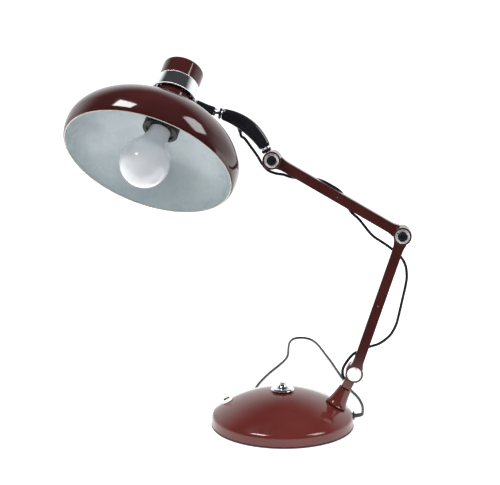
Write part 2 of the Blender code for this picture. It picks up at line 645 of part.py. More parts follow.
# ---------------------------------------------------------------- joint hardware
def build_joint(name, centre, has_knob):
    """Axle, friction washer, chrome disc and knob of one ring joint."""
    front = axis_frame(centre, (0, -1, 0), (1, 0, 0))
    floor = PLANE_FAR - RECESS
    disc_low, disc_high = floor + GAP, floor + GAP + 0.0009
    tip = disc_high + 0.0018 if has_knob else floor - 0.0006
    head = PLANE_FAR - RECESS + GAP
    axle = [(0.0, tip), (AXLE_RADIUS - 0.0004, tip), (AXLE_RADIUS, tip - 0.0004),
            (AXLE_RADIUS, -head), (0.0056, -head), (0.0056, -head - 0.0026),
            (0.0050, -head - 0.0030), (0.0, -head - 0.0030)]
    turned(name + "_axle", axle, STEEL, front, steps=16)
    turned(name + "_washer", tube_profile(BORE_RADIUS, 0.0098, -0.00028, 0.00028), FIBRE, front, steps=20)
    radius = RING_RADIUS - RING_WALL - GAP
    if has_knob:
        profile = [(radius - 0.0003, disc_high), (radius, disc_high - 0.0003), (radius, disc_low),
                   (BORE_RADIUS, disc_low), (BORE_RADIUS, disc_high)]
    else:
        profile = [(0.0, disc_high), (radius - 0.0003, disc_high), (radius, disc_high - 0.0003),
                   (radius, disc_low), (0.0, disc_low)]
    turned(name + "_disc", profile, CHROME, front, steps=24)
    if has_knob:
        knob_low, knob_high = disc_high + GAP, PLANE_FAR + 0.0012
        edge = 0.0008
        shape = [(0.0, knob_high - 0.0004), (KNOB_RADIUS - 0.0026, knob_high - 0.0004),
                 (KNOB_RADIUS - 0.0022, knob_high), (KNOB_RADIUS - edge, knob_high),
                 (KNOB_RADIUS, knob_high - edge), (KNOB_RADIUS, knob_low), (BORE_RADIUS, knob_low),
                 (BORE_RADIUS, tip + 0.0003), (0.0, tip + 0.0003)]
        turned(name + "_knob", shape, BLACK, front, steps=24)


# ---------------------------------------------------------------- handle
def grip_outline():
    """Both sides of the curved grip, in its own plane, as offsets from the centreline."""
    sides = ([], [])
    steps = 14
    inset = GRIP_EDGE / (HANDLE_RADIUS * HANDLE_SWEEP)
    for i in range(steps + 1):
        share = inset + (1 - 2 * inset) * i / steps
        point, direction = grip_point(share)
        normal = Vector((direction.z, 0, -direction.x))
        half = GRIP_HALF_WIDTH + GRIP_BULGE * math.sin(math.pi * share)
        sides[0].append(point + normal * (half - GRIP_EDGE))
        sides[1].append(point - normal * (half - GRIP_EDGE))
    return sides[0] + sides[1][::-1]


def build_handle():
    lean = leaning(HANDLE_LEAN)
    start = axis_frame(Vector((WRIST.x, FRONT_Y, WRIST.z)), lean, (0, 1, 0))
    bracket = knuckle("handle_bracket", WRIST, -1)
    spigot = cutter("bracket_spigot", cylinder_mesh(0.0026, 0.0260 - 0.0100, 20),
                    start @ Matrix.Translation((0, 0, 0.0100)))
    join(bracket, spigot)
    block = add_mesh("handle_block", box_mesh((-0.0058, -0.0063, 0), (0.0058, 0.0063, 0.0034)), BLACK,
                     start @ Matrix.Translation((0, 0, RING_RADIUS + 0.0006)))
    bevel(block, 0.0008, 1)
    bore = cylinder_mesh(0.0029, 0.05, 20)
    cut(block, cutter("block_bore", bore, start @ Matrix.Translation((0, 0, 0.0))))
    ring_low = RING_RADIUS + 0.0006 + 0.0034 + GAP
    turned("handle_lower_ring", [(0.0066, ring_low + 0.0016), (0.0070, ring_low + 0.0012),
                                 (0.0070, ring_low + 0.0004), (0.0066, ring_low),
                                 (0.0029, ring_low), (0.0029, ring_low + 0.0016)],
           CHROME, start, steps=20)

    points = [(p.x, p.z) for p in grip_outline()]
    flat = outline_mesh("grip", points, -GRIP_HALF_DEPTH, GRIP_HALF_DEPTH, GRIP_EDGE)
    upright = Matrix.Translation((0, FRONT_Y, 0)) @ Matrix.Rotation(math.pi / 2, 4, "X")
    grip = add_mesh("grip", flat, BLACK, upright)
    cut(grip, cutter("grip_lower_socket", cylinder_mesh(0.0029, 0.0286, 20), start))
    end = axis_frame(GRIP_END, END_DIRECTION, (0, 1, 0))
    cut(grip, cutter("grip_upper_socket", cylinder_mesh(0.0026, 0.0140, 20),
                     end @ Matrix.Translation((0, 0, -0.0085))))
    nub_point, nub_along = grip_point(NUB_AT)
    inwards = Vector((-nub_along.z, 0, nub_along.x))
    exit_way = inwards * math.cos(NUB_TILT) - nub_along * math.sin(NUB_TILT)
    nub_frame = axis_frame(nub_point, exit_way, nub_along)
    cut(grip, cutter("nub_socket", cylinder_mesh(0.0032, 0.020, 20), nub_frame))
    nub = [(0.0, NUB_REACH), (0.0020, NUB_REACH), (0.0023, NUB_REACH - 0.0006), (0.0028, 0.0060),
           (0.0028, 0.0010), (0.0, 0.0010)]
    turned("flex_nub", nub, RUBBER, nub_frame, steps=20)
    turned("handle_upper_ring", [(0.0065, 0.0014), (0.0068, 0.0011), (0.0068, GAP + 0.0001),
                                 (0.0026, GAP + 0.0001), (0.0026, 0.0014)], CHROME, end, steps=20)
    return nub_frame


def build_ball_joint():
    end = axis_frame(GRIP_END, END_DIRECTION, (0, 1, 0))
    turned("swivel_collar", [(0.0060, 0.0046), (0.0069, 0.0037), (0.0069, 0.0024), (0.0064, 0.0017),
                             (0.0025, 0.0017), (0.0025, 0.0046)], BLACK, end, steps=20)
    stud = [(BALL_RADIUS * math.sin(a), BALL_REACH + BALL_RADIUS * math.cos(a))
            for a in (math.radians(d) for d in range(0, 151, 15))]
    stud = [(0.0, stud[0][1])] + stud[1:] + [(0.0021, -0.0070), (0.0, -0.0070)]
    turned("ball_stud", stud, CHROME, end, steps=20)


# ---------------------------------------------------------------- head
def shade_profile():
    """Outside of the shade: roof of the neck, neck, hollow fillet, dome, and turned-in edge."""
    points = [(0.0056, NECK_TOP), (NECK_RADIUS - 0.002, NECK_TOP), (NECK_RADIUS, NECK_TOP - 0.002)]
    crown = SHADE_WIDEST + SHADE_CROWN
    fillet = 0.006
    base = crown - 0.0006
    for degrees in (0, 30, 60, 82):
        a = math.radians(degrees)
        points.append((NECK_RADIUS + fillet * (1 - math.cos(a)), base + fillet * (1 - math.sin(a))))
    last = points[-1][0]
    for k in range(1, 13):
        a = math.pi / 2 * (1 - k / 12)
        if a < 0:
            break
        r = SHADE_RADIUS * math.cos(a) ** (2 / 2.2)
        z = SHADE_WIDEST + SHADE_CROWN * math.sin(a) ** (2 / 1.8)
        if r > last + 0.004:
            points.append((r, z))
    for k in (1, 2, 3):
        a = math.pi / 2 * k / 3
        points.append((OPENING_RADIUS + (SHADE_RADIUS - OPENING_RADIUS) * math.cos(a),
                       SHADE_WIDEST * (1 - math.sin(a))))
    return points


def build_head():
    shade = add_mesh("shade", profile_mesh("shade", shade_profile(), False), OXBLOOD, SHADE_FRAME)
    screw(shade, 36)
    wall = shade.modifiers.new("wall", "SOLIDIFY")
    wall.thickness = SHADE_WALL
    wall.offset = -1
    wall.use_even_offset = True

    neck_room = NECK_RADIUS + 0.0004
    roof = COLLAR_TOP - 0.0016
    collar = turned("head_collar", [
        (0.0054, COLLAR_TOP), (0.0253, COLLAR_TOP), (0.0257, COLLAR_TOP - 0.0004),
        (0.0281, COLLAR_BOTTOM + 0.0008), (0.0279, COLLAR_BOTTOM), (0.0266, COLLAR_BOTTOM),
        (0.0242, roof), (0.0054, roof)], CHROME, SHADE_FRAME, steps=32)
    cut(collar, cutter("stem_hole", cylinder_mesh(0.0029, 0.02, 20),
                       SHADE_FRAME @ Matrix.Translation((neck_room, 0, STEM_HEIGHT))
                       @ Matrix.Rotation(math.pi / 2, 4, "Y")))
    cap_low = COLLAR_TOP + GAP
    edge = 0.0034
    outer = [(0.0, CAP_TOP)] + [(0.0252 - edge * (1 - math.sin(a)), CAP_TOP - edge * (1 - math.cos(a)))
                                for a in (math.radians(d) for d in (0, 30, 60, 90))]
    turned("head_cap", outer + [(0.0252, cap_low), (0.0238, cap_low), (0.0238, CAP_TOP - 0.0040),
                                (0.0220, CAP_TOP - 0.0016), (0.0, CAP_TOP - 0.0016)],
           OXBLOOD, SHADE_FRAME, steps=32)

    mouth, top = HOLDER_MOUTH, NECK_TOP - SHADE_WALL - GAP
    turned("lampholder", [
        (0.0054, top), (0.0150, top), (0.0200, top - 0.0050), (0.0200, mouth + 0.0190),
        (0.0166, mouth + 0.0190), (0.0166, mouth + 0.0020), (0.0140, mouth + 0.0020),
        (0.0140, mouth + 0.0320), (0.0054, mouth + 0.0320)], BAKELITE, SHADE_FRAME, steps=24)
    turned("lampholder_skirt", [
        (0.0214, mouth + 0.0185), (0.0218, mouth + 0.0180), (0.0218, mouth + 0.0008),
        (0.0210, mouth), (0.0170, mouth), (0.0170, mouth + 0.0185)], BAKELITE, SHADE_FRAME, steps=28)
    turned("lamp_nipple", [
        (0.0050, COLLAR_TOP + 0.0060), (0.0050, COLLAR_BOTTOM + 0.0030),
        (0.0090, COLLAR_BOTTOM + 0.0026), (0.0090, NECK_TOP + GAP), (0.0050, NECK_TOP + GAP),
        (0.0050, mouth + 0.0330), (0.0030, mouth + 0.0330), (0.0030, COLLAR_TOP + 0.0060)],
           BRASS, SHADE_FRAME, steps=16)
    turned("collar_nut", tube_profile(0.0061, 0.0095, COLLAR_TOP + GAP, COLLAR_TOP + 0.0035),
           STEEL, SHADE_FRAME, steps=6)

    build_bulb()
    build_stem()


def build_bulb():
    """An opal bulb: its widest part is a sphere, which draws in to the neck and the screw cap."""
    glass_top = HOLDER_MOUTH + 0.0016
    neck = 0.0130
    profile = [(0.0, BULB_CENTRE - BULB_RADIUS)]
    for degrees in range(-75, 31, 15):
        a = math.radians(degrees)
        profile.append((BULB_RADIUS * math.cos(a), BULB_CENTRE + BULB_RADIUS * math.sin(a)))
    profile += [(0.0222, BULB_CENTRE + 0.0208), (0.0180, BULB_CENTRE + 0.0280),
                (0.0150, BULB_CENTRE + 0.0360), (neck, glass_top - 0.0030), (neck, glass_top),
                (0.0, glass_top)]
    turned("bulb_glass", profile[::-1], OPAL, SHADE_FRAME, steps=28)
    low = glass_top + GAP
    cap = [(0.0, low + 0.0262), (0.0045, low + 0.0262), (0.0050, low + 0.0235), (0.0095, low + 0.0215)]
    turns = 4
    for k in range(turns):
        z = low + 0.0200 - k * 0.0045
        cap += [(0.0132, z), (0.0124, z - 0.0022)]
    cap += [(0.0130, low + 0.0012), (0.0130, low), (0.0, low)]
    turned("bulb_cap", cap, BRASS, SHADE_FRAME, steps=16)


def build_stem():
    """The tapered stem in the side of the collar, its socket for the ball and the ferrule."""
    out = HEAD_FRAME @ Matrix.Rotation(-math.pi / 2, 4, "Y")
    # Here +Z runs from the ball towards the head.
    root = STEM_LENGTH - 0.0285
    stem = turned("stem", [(0.0, root + 0.0040), (0.0025, root + 0.0040), (0.0025, root - 0.0004),
                           (0.0036, root - 0.0008), (0.0044, 0.0150), (0.0061, 0.0022),
                           (0.0061, 0.0012), (0.0, 0.0012)], BLACK, out, steps=20)
    cut(stem, cutter("socket", sphere_mesh(BALL_RADIUS + GAP, 20, 10), out))
    ferrule = turned("ferrule", disc_profile(0.0057, -0.0022, 0.0012 - GAP), CHROME, out, steps=20)
    cut(ferrule, cutter("ferrule_bore", sphere_mesh(BALL_RADIUS + GAP, 20, 10), out))


# ---------------------------------------------------------------- leads
EXIT_DIRECTION = Vector((math.cos(EXIT_ANGLE), math.sin(EXIT_ANGLE), 0))
EXIT_POINT = EXIT_DIRECTION * BASE_RADIUS + Vector((0, 0, EXIT_HEIGHT))


def build_flex(nub_frame):
    nub_tip = nub_frame @ Vector((0, 0, NUB_REACH))
    nub_way = nub_frame.to_3x3() @ Vector((0, 0, 1))
    routes = [("flex_wrist_loop", [nub_tip + nub_way * 0.0006, nub_tip + nub_way * 0.005] + WRIST_LOOP),
              ("flex_upper_run", UPPER_RUN), ("flex_elbow_loop", ELBOW_LOOP),
              ("flex_lower_run", LOWER_RUN), ("flex_shoulder_loop", SHOULDER_LOOP)]
    for i, (name, route) in enumerate(routes):
        before = routes[i - 1][1][-2] if i else None
        after = routes[i + 1][1][1] if i + 1 < len(routes) else None
        lead(name, route, before=before, after=after)


def hank_point(along, across, height):
    """A point of the hank, whose straight shape is bent around the back of the base."""
    angle = HANK_ANGLE - along / HANK_MIDDLE
    radius = HANK_MIDDLE + across
    return (-radius * math.sin(angle), radius * math.cos(angle), height)


def hank_outline(reach):
    """The stadium at one distance from the hank's middle line, bent with it."""
    points = []
    for end in (1, -1):
        for k in range(11):
            a = math.pi * k / 10 - math.pi / 2
            points.append((end * (HANK_RUN / 2 + reach * math.cos(a)), end * reach * math.sin(a)))
        for k in range(1, 8):
            points.append((end * HANK_RUN * (0.5 - k / 8), end * reach))
    return [hank_point(along, across, 0)[:2] for along, across in points]


def build_mains():
    grommet = axis_frame(EXIT_POINT, EXIT_DIRECTION, (0, 0, 1))
    relief = turned("strain_relief", [
        (0.0, 0.0018), (0.0050, 0.0018), (0.0058, 0.0010), (0.0058, 0.0004), (0.0042, 0.0004),
        (0.0042, -0.0030), (0.0, -0.0030)], RUBBER, grommet, steps=28)
    sleeve = smooth_route(RELIEF_ROUTE, 0.0040, after=MAINS_ROUTE[1])
    join(relief, cutter("relief_sleeve", tube_mesh("relief_sleeve", sleeve, 0.0031, (1.0, 0.70))))
    lead("mains_cord", MAINS_ROUTE, step=3 * CORD_DIAMETER, before=RELIEF_ROUTE[-2])

    height = HANK_LAYERS * CORD_DIAMETER
    hank = add_mesh("mains_hank", outline_mesh("mains_hank", hank_outline(HANK_WIDTH), 0, height), PVC)
    inner = hank_outline(HANK_FOLD - CORD_DIAMETER / 2)
    cut(hank, cutter("hank_middle", outline_mesh("hank_middle", inner, -0.01, 0.02)))
    build_tie()
    lead("mains_tail", TAIL_ROUTE, step=0.0040)
    build_plug()


def build_tie():
    """A strap around the near side of the hank."""
    thick = 0.0008
    room = GAP + 0.0001
    near = -HANK_WIDTH - room - thick
    far = -(HANK_FOLD - CORD_DIAMETER / 2) + room + thick
    height = HANK_LAYERS * CORD_DIAMETER
    frame = axis_frame(Vector(hank_point(0, 0, 0)), (0, 0, 1),
                       Vector(hank_point(0.001, 0, 0)) - Vector(hank_point(-0.001, 0, 0)))
    tie = add_mesh("hank_tie", box_mesh((-0.004, near, 0.0), (0.004, far, height + room + thick)),
                   RUBBER, frame)
    cut(tie, cutter("tie_room", box_mesh((-0.01, near + thick, -0.002),
                                         (0.01, far - thick, height + room)), frame))


def build_plug():
    entry = Vector(TAIL_ROUTE[-1])
    way = (entry - Vector(TAIL_ROUTE[-3])).normalized()
    way.z = 0.0
    way.normalize()
    frame = axis_frame(Vector((entry.x, entry.y, 0)), (0, 0, 1), way)
    half, neck = PLUG_WIDTH / 2, PLUG_NECK / 2
    edge = 0.0020
    outline = [(edge, -neck + edge), (0.010, -half + edge), (PLUG_LENGTH - edge, -half + edge),
               (PLUG_LENGTH - edge, half - edge), (0.010, half - edge), (edge, neck - edge)]
    body = add_mesh("plug_body", outline_mesh("plug_body", outline, 0.0, PLUG_THICKNESS, edge),
                    RUBBER, frame)
    for tag, y in (("left", -PIN_SPACING / 2), ("right", PIN_SPACING / 2)):
        pin_frame = frame @ Matrix.Translation((PLUG_LENGTH - 0.006, y, PLUG_THICKNESS / 2))
        pin_frame = pin_frame @ Matrix.Rotation(math.pi / 2, 4, "Y")
        cut(body, cutter(f"pin_socket_{tag}", cylinder_mesh(PIN_RADIUS + GAP, 0.02, 20), pin_frame))
        shape = disc_profile(PIN_RADIUS, GAP, PIN_LENGTH + 0.006, 0.0008)
        turned(f"plug_pin_{tag}", shape, BRASS, pin_frame, steps=20)


# ---------------------------------------------------------------- the lamp
build_base()
build_switch()
build_pedestal()
build_yoke()
build_arm("lower_arm", SHOULDER, ELBOW, -1)
build_arm("upper_arm", ELBOW, WRIST, 1)
build_clip("lower_arm_clip", SHOULDER, ELBOW, -1)
build_clip("upper_arm_clip", ELBOW, WRIST, 1)
build_joint("shoulder", SHOULDER, False)
build_joint("elbow", ELBOW, True)
build_joint("wrist", WRIST, True)
NUB_FRAME = build_handle()
build_ball_joint()
build_head()
build_flex(NUB_FRAME)
build_mains()
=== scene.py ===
"""Oxblood desk lamp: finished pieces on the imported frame, with its camera, light and floor."""
import json
import math

import bpy
from mathutils import Matrix, Vector


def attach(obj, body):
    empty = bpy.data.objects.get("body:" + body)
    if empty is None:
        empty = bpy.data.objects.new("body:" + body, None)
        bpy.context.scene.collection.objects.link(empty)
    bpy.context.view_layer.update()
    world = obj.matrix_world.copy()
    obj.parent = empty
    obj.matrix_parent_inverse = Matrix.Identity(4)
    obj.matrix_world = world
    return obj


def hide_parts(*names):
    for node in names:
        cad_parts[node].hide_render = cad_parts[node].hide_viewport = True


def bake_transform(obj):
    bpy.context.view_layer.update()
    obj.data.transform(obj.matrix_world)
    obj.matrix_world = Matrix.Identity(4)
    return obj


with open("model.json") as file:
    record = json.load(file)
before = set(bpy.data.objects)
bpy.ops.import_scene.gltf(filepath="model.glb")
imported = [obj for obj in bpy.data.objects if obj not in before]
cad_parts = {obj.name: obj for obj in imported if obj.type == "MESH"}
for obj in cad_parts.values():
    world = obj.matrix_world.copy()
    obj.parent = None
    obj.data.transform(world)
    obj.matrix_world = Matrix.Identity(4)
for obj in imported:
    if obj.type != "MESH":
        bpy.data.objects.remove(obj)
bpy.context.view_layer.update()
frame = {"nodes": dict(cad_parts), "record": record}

# ---------------------------------------------------------------- sizes shared with the frame
BASE_RADIUS = 0.090
DOME_TOP = 0.045
DOME_RADIUS = 0.149
PEDESTAL_X = 0.068
CONE_HEIGHT = 0.025
SHOULDER_RISE = 0.049
SWITCH_X = -0.070
LEVER_LEAN = math.radians(7)
ARM_LENGTH = 0.184
ARM_WIDTH = 0.0128
LOWER_LEAN = math.radians(17.6)
UPPER_RISE = math.radians(29.5)
RING_RADIUS = 0.0112
RING_WALL = 0.0021
RECESS = 0.0038
BORE = 0.0033
CHANNEL_WALL = 0.0012
NEAR, FAR = 0.0006, 0.0123
KNOB_RADIUS = 0.0061
FRONT_Y = -(NEAR + FAR) / 2
HANDLE_LEAN = math.radians(27.6)
HANDLE_START = 0.0176
HANDLE_RADIUS = 0.078
HANDLE_SWEEP = math.radians(49.6)
NUB_AT = 0.72
NUB_TILT = math.radians(40)
NUB_REACH = 0.0160
GRIP_HALF_WIDTH = 0.0070
GRIP_BULGE = 0.0020
GRIP_HALF_DEPTH = 0.0062
BALL_REACH = 0.0113
BALL_RADIUS = 0.0042
SOCKET_RADIUS = 0.0045
HEAD_TURN = math.radians(20.0)
HEAD_PITCH = math.radians(28.2)
HEAD_ROLL = math.radians(-31.2)
STEM_LENGTH = 0.0535
STEM_HEIGHT = 0.1075
OPENING_RADIUS = 0.1014
SHADE_RADIUS = 0.1055
SHADE_WIDEST = 0.0156
SHADE_CROWN = 0.0590
SHADE_WALL = 0.0010
NECK_RADIUS = 0.0228
NECK_TOP = 0.1005
COLLAR_BOTTOM = 0.0990
COLLAR_TOP = 0.1195
CAP_TOP = 0.1425
BULB_RADIUS = 0.0297
BULB_CENTRE = 0.0010
BULB_LEAN = math.radians(4.5)
HOLDER_MOUTH = 0.0470
CORD = 0.0036
EXIT_HEIGHT = 0.0105
EXIT_ANGLE = math.radians(8)
HANK_ANGLE = math.radians(-6)
HANK_RUN = 15 * CORD
HANK_FOLD = 3 * CORD
HANK_GAP = 0.0024
HANK_MIDDLE = BASE_RADIUS + HANK_GAP + HANK_FOLD + 1.5 * CORD
HANK_STAGGER = 0.004
TABLE_GAP = 0.0001
PIN_OFFSET = 0.0095
PLUG_FACE = (0.020, 0.00525)
FLOOR_SIZE = 8.0
FLOOR_FRONT = 0.30
FLOOR_DROP = 0.0002


def leaning(angle):
    """The direction at an angle from the vertical towards -X."""
    return Vector((-math.sin(angle), 0, math.cos(angle)))


def dome_height(x):
    return DOME_TOP - DOME_RADIUS + math.sqrt(DOME_RADIUS ** 2 - x ** 2)


def dome_normal(x):
    return Vector((x / DOME_RADIUS, 0, math.sqrt(1 - (x / DOME_RADIUS) ** 2)))


def axis_frame(origin, z_axis, x_axis=(0, 1, 0)):
    """A frame at a point, with its Z along one direction and its X near another."""
    z = Vector(z_axis).normalized()
    x = Vector(x_axis)
    if abs(z.dot(x)) > 0.99:
        x = Vector((1, 0, 0))
    x = (x - z * x.dot(z)).normalized()
    rotation = Matrix((x, z.cross(x), z)).transposed().to_4x4()
    return Matrix.Translation(origin) @ rotation


FOOT = Vector((PEDESTAL_X, 0, dome_height(PEDESTAL_X)))
PEDESTAL_AXIS = dome_normal(PEDESTAL_X)
SHOULDER = FOOT + PEDESTAL_AXIS * SHOULDER_RISE
ELBOW = SHOULDER + ARM_LENGTH * Vector((math.sin(LOWER_LEAN), 0, math.cos(LOWER_LEAN)))
WRIST = ELBOW + ARM_LENGTH * Vector((-math.cos(UPPER_RISE), 0, math.sin(UPPER_RISE)))
GRIP_START = WRIST + leaning(HANDLE_LEAN) * HANDLE_START + Vector((0, FRONT_Y, 0))
GRIP_CENTRE = GRIP_START - HANDLE_RADIUS * Vector((math.cos(HANDLE_LEAN), 0, math.sin(HANDLE_LEAN)))


def grip_point(share):
    """A point on the grip's centreline, and the direction of the line there."""
    angle = HANDLE_LEAN + share * HANDLE_SWEEP
    return GRIP_CENTRE + HANDLE_RADIUS * Vector((math.cos(angle), 0, math.sin(angle))), leaning(angle)


GRIP_END, END_DIRECTION = grip_point(1.0)
BALL = GRIP_END + END_DIRECTION * BALL_REACH
HEAD_FRAME = (Matrix.Translation(BALL) @ Matrix.Rotation(HEAD_TURN, 4, "Z")
              @ Matrix.Rotation(HEAD_PITCH, 4, "Y") @ Matrix.Rotation(HEAD_ROLL, 4, "X"))
SHADE_FRAME = HEAD_FRAME @ Matrix.Translation((-STEM_LENGTH, 0, -STEM_HEIGHT))
EXIT_DIRECTION = Vector((math.cos(EXIT_ANGLE), math.sin(EXIT_ANGLE), 0))
EXIT_POINT = EXIT_DIRECTION * BASE_RADIUS + Vector((0, 0, EXIT_HEIGHT))
PEDESTAL_FRAME = axis_frame(FOOT, PEDESTAL_AXIS)
SWITCH_POINT = Vector((SWITCH_X, 0, dome_height(SWITCH_X)))
SWITCH_AXIS = dome_normal(SWITCH_X)

# ---------------------------------------------------------------- camera
camera_data = bpy.data.cameras.new("camera")
camera_data.lens = 80.64
camera_data.sensor_width = 36.0
camera = bpy.data.objects.new("camera", camera_data)
camera.location = (0.1136, -1.3627, 0.4801)
camera.rotation_euler = (math.radians(79.85), 0.0, math.radians(6.5))
bpy.context.scene.collection.objects.link(camera)
bpy.context.scene.camera = camera


# ---------------------------------------------------------------- finishes
def spread_over(node, low, high, to_low, to_high):
    """Set what a Map Range node takes in and gives out."""
    for key, number in (("From Min", low), ("From Max", high), ("To Min", to_low), ("To Max", to_high)):
        node.inputs[key].default_value = number


class Flow:
    """A number that varies over a surface; ordinary operators add the Math nodes."""

    def __init__(self, tree, socket):
        self.tree, self.socket = tree, socket

    def math(self, operation, *others):
        node = self.tree.nodes.new("ShaderNodeMath")
        node.operation = operation
        for socket, value in zip(node.inputs, [self, *others]):
            if isinstance(value, Flow):
                self.tree.links.new(value.socket, socket)
            else:
                socket.default_value = value
        return Flow(self.tree, node.outputs[0])

    def __add__(self, other):
        return self.math("ADD", other)

    def __mul__(self, other):
        return self.math("MULTIPLY", other)

    def __sub__(self, other):
        return self.math("SUBTRACT", other)


class Finish:
    """One material: its shader's plain settings, and the nodes that vary them."""

    def __init__(self, name, slot, **settings):
        self.name, self.slot = name, slot
        self.material = bpy.data.materials.new(name)
        self.material.use_nodes = True
        self.tree = self.material.node_tree
        self.shader = self.tree.nodes["Principled BSDF"]
        for key, value in settings.items():
            self.shader.inputs[key.replace("_", " ")].default_value = value
        self.place = self.node("TexCoord").outputs["Object"]

    def node(self, kind, settings=None, **inputs):
        """Any node, its settings made first and then its sockets' values or links."""
        made = self.tree.nodes.new("ShaderNode" + kind)
        for key, value in (settings or {}).items():
            setattr(made, key, value)
        for key, value in inputs.items():
            socket = made.inputs[key.replace("_", " ")]
            if isinstance(value, Flow):
                self.tree.links.new(value.socket, socket)
            elif isinstance(value, bpy.types.NodeSocket):
                self.tree.links.new(value, socket)
            else:
                socket.default_value = value
        return made

    def noise(self, scale, detail=3.0, rough=0.5):
        made = self.node("TexNoise", Vector=self.place, Scale=scale, Detail=detail, Roughness=rough)
        return Flow(self.tree, made.outputs["Fac"])

    def band(self, value, low, high, to_low=0.0, to_high=1.0):
        made = self.node("MapRange", {"interpolation_type": "SMOOTHSTEP"}, Value=value)
        spread_over(made, low, high, to_low, to_high)
        return Flow(self.tree, made.outputs["Result"])

    def tint(self, amount, first, second):
        mix = self.node("Mix", {"data_type": "RGBA"})
        self.tree.links.new(amount.socket, mix.inputs["Factor"])
        for socket, colour in ((mix.inputs[6], first), (mix.inputs[7], second)):
            if isinstance(colour, bpy.types.NodeSocket):
                self.tree.links.new(colour, socket)
            else:
                socket.default_value = (*colour, 1.0)
        return mix.outputs[2]

    def feed(self, key, value):
        socket = value.socket if isinstance(value, Flow) else value
        self.tree.links.new(socket, self.shader.inputs[key])

    def bump(self, height, strength, distance):
        made = self.node("Bump", Height=height, Strength=strength, Distance=distance)
        self.feed("Normal", made.outputs["Normal"])


def painted(name, slot, deep, light, roughness=0.10, coat=0.0):
    """Stove enamel: slightly uneven colour, faint wipe marks and a trace of orange peel."""
    finish = Finish(name, slot, IOR=1.47, Coat_Weight=coat, Coat_Roughness=0.03)
    cloud = finish.noise(14.0, 4.0)
    finish.feed("Base Color", finish.tint(finish.band(cloud, 0.35, 0.65), deep, light))
    smear = finish.noise(55.0, 5.0, 0.65)
    finish.feed("Roughness", finish.band(smear, 0.35, 0.75, roughness, roughness + 0.06))
    finish.bump(finish.noise(900.0, 1.0), 0.006, 0.0002)
    return finish


def metal(name, slot, colour, roughness, spread=0.06, grain=400.0, bump=0.02, metallic=1.0):
    """Plated or bare metal, with fine scratches that dull it unevenly."""
    finish = Finish(name, slot, Metallic=metallic)
    dull = finish.noise(30.0, 5.0, 0.6)
    darker = tuple(c * 0.86 for c in colour)
    finish.feed("Base Color", finish.tint(finish.band(dull, 0.45, 0.75), colour, darker))
    fine = finish.noise(grain, 3.0)
    finish.feed("Roughness", finish.band(fine * 0.5 + dull * 0.5, 0.35, 0.7, roughness, roughness + spread))
    finish.bump(fine, bump, 0.0002)
    return finish


def moulded(name, slot, deep, light, roughness, spread=0.10, grain=600.0, bump=0.05, ior=1.5):
    """Moulded plastic, rubber or phenolic, with a fine skin and handling marks."""
    finish = Finish(name, slot, IOR=ior)
    cloud = finish.noise(25.0, 4.0)
    finish.feed("Base Color", finish.tint(finish.band(cloud, 0.35, 0.7), deep, light))
    marks = finish.noise(90.0, 5.0, 0.65)
    finish.feed("Roughness", finish.band(marks, 0.35, 0.7, roughness, roughness + spread))
    finish.bump(finish.noise(grain, 2.0), bump, 0.0002)
    return finish


ENAMEL = painted("oxblood_enamel", "oxblood_paint", (0.042, 0.009, 0.008), (0.052, 0.012, 0.011))
# The base, pedestal and yoke take a lighter, redder copy of the same oxblood enamel: painted light, for how
# brightly they are lit.
BASE_ENAMEL_LIT_COPY = painted("oxblood_enamel_base_painted_light", "oxblood_paint", (0.082, 0.014, 0.012),
                      (0.098, 0.018, 0.015))
# The lamp shade and cap take a darker copy of the same enamel: painted shade, for how dimly the shade's
# outside is lit.
SHADE_ENAMEL_SHADED_COPY = painted("oxblood_enamel_lampshade_painted_shade", "oxblood_paint", (0.032, 0.007, 0.007),
                       (0.041, 0.009, 0.009), 0.07)
SHADE_WHITE = painted("shade_inside_white", "oxblood_paint", (0.57, 0.64, 0.67),
                      (0.61, 0.68, 0.70), 0.26, 0.3)
SHADE_RIM = painted("shade_rim_cream", "oxblood_paint", (0.55, 0.50, 0.43), (0.62, 0.57, 0.50), 0.25, 0.3)
CHROME = metal("polished_chrome", "chrome", (0.84, 0.86, 0.90), 0.035, 0.04, 500.0, 0.002)
STEEL = metal("zinc_plate", "zinc_steel", (0.55, 0.56, 0.57), 0.28, 0.15)
# Near-white plate with little metal, standing in for chrome: its brightness is a painted reflection of the
# bright studio.
REFLECTION_WHITE_PLATE = metal("plate_painted_reflection", "chrome", (0.93, 0.94, 0.96), 0.45, 0.1, 900.0, 0.02,
                     metallic=0.25)
NICKEL = metal("nickel_plated_brass", "brass", (0.80, 0.79, 0.76), 0.18, 0.12)
BRASS = metal("bright_brass", "brass", (0.66, 0.48, 0.22), 0.20, 0.15)
IRON = metal("cast_iron_skin", "cast_iron", (0.10, 0.10, 0.10), 0.60, 0.2, 220.0, 0.4)
GLOSS_BLACK = moulded("gloss_black_plastic", "black_gloss_plastic", (0.007, 0.007, 0.010),
                      (0.011, 0.011, 0.014), 0.10, 0.06, 700.0, 0.004)
BAKELITE = moulded("phenolic_black", "black_bakelite", (0.004, 0.004, 0.004), (0.007, 0.006, 0.006),
                   0.26, 0.08, 600.0, 0.01, 1.33)
RUBBER = moulded("black_rubber_skin", "black_rubber", (0.012, 0.012, 0.014), (0.020, 0.020, 0.023),
                 0.50, 0.2, 500.0, 0.12)
SHEATH = moulded("cord_sheath", "black_pvc", (0.004, 0.004, 0.009), (0.007, 0.007, 0.014),
                 0.42, 0.12, 800.0, 0.08, 1.35)
LEVER_WHITE = moulded("switch_white", "white_plastic", (0.80, 0.80, 0.77), (0.85, 0.85, 0.82), 0.22)
FIBRE = moulded("red_fibre_sheet", "red_fibre", (0.22, 0.05, 0.04), (0.28, 0.07, 0.05), 0.6)
FELT = moulded("black_felt_pile", "felt", (0.014, 0.014, 0.014), (0.030, 0.030, 0.030),
               0.9, 0.08, 1500.0, 0.6)


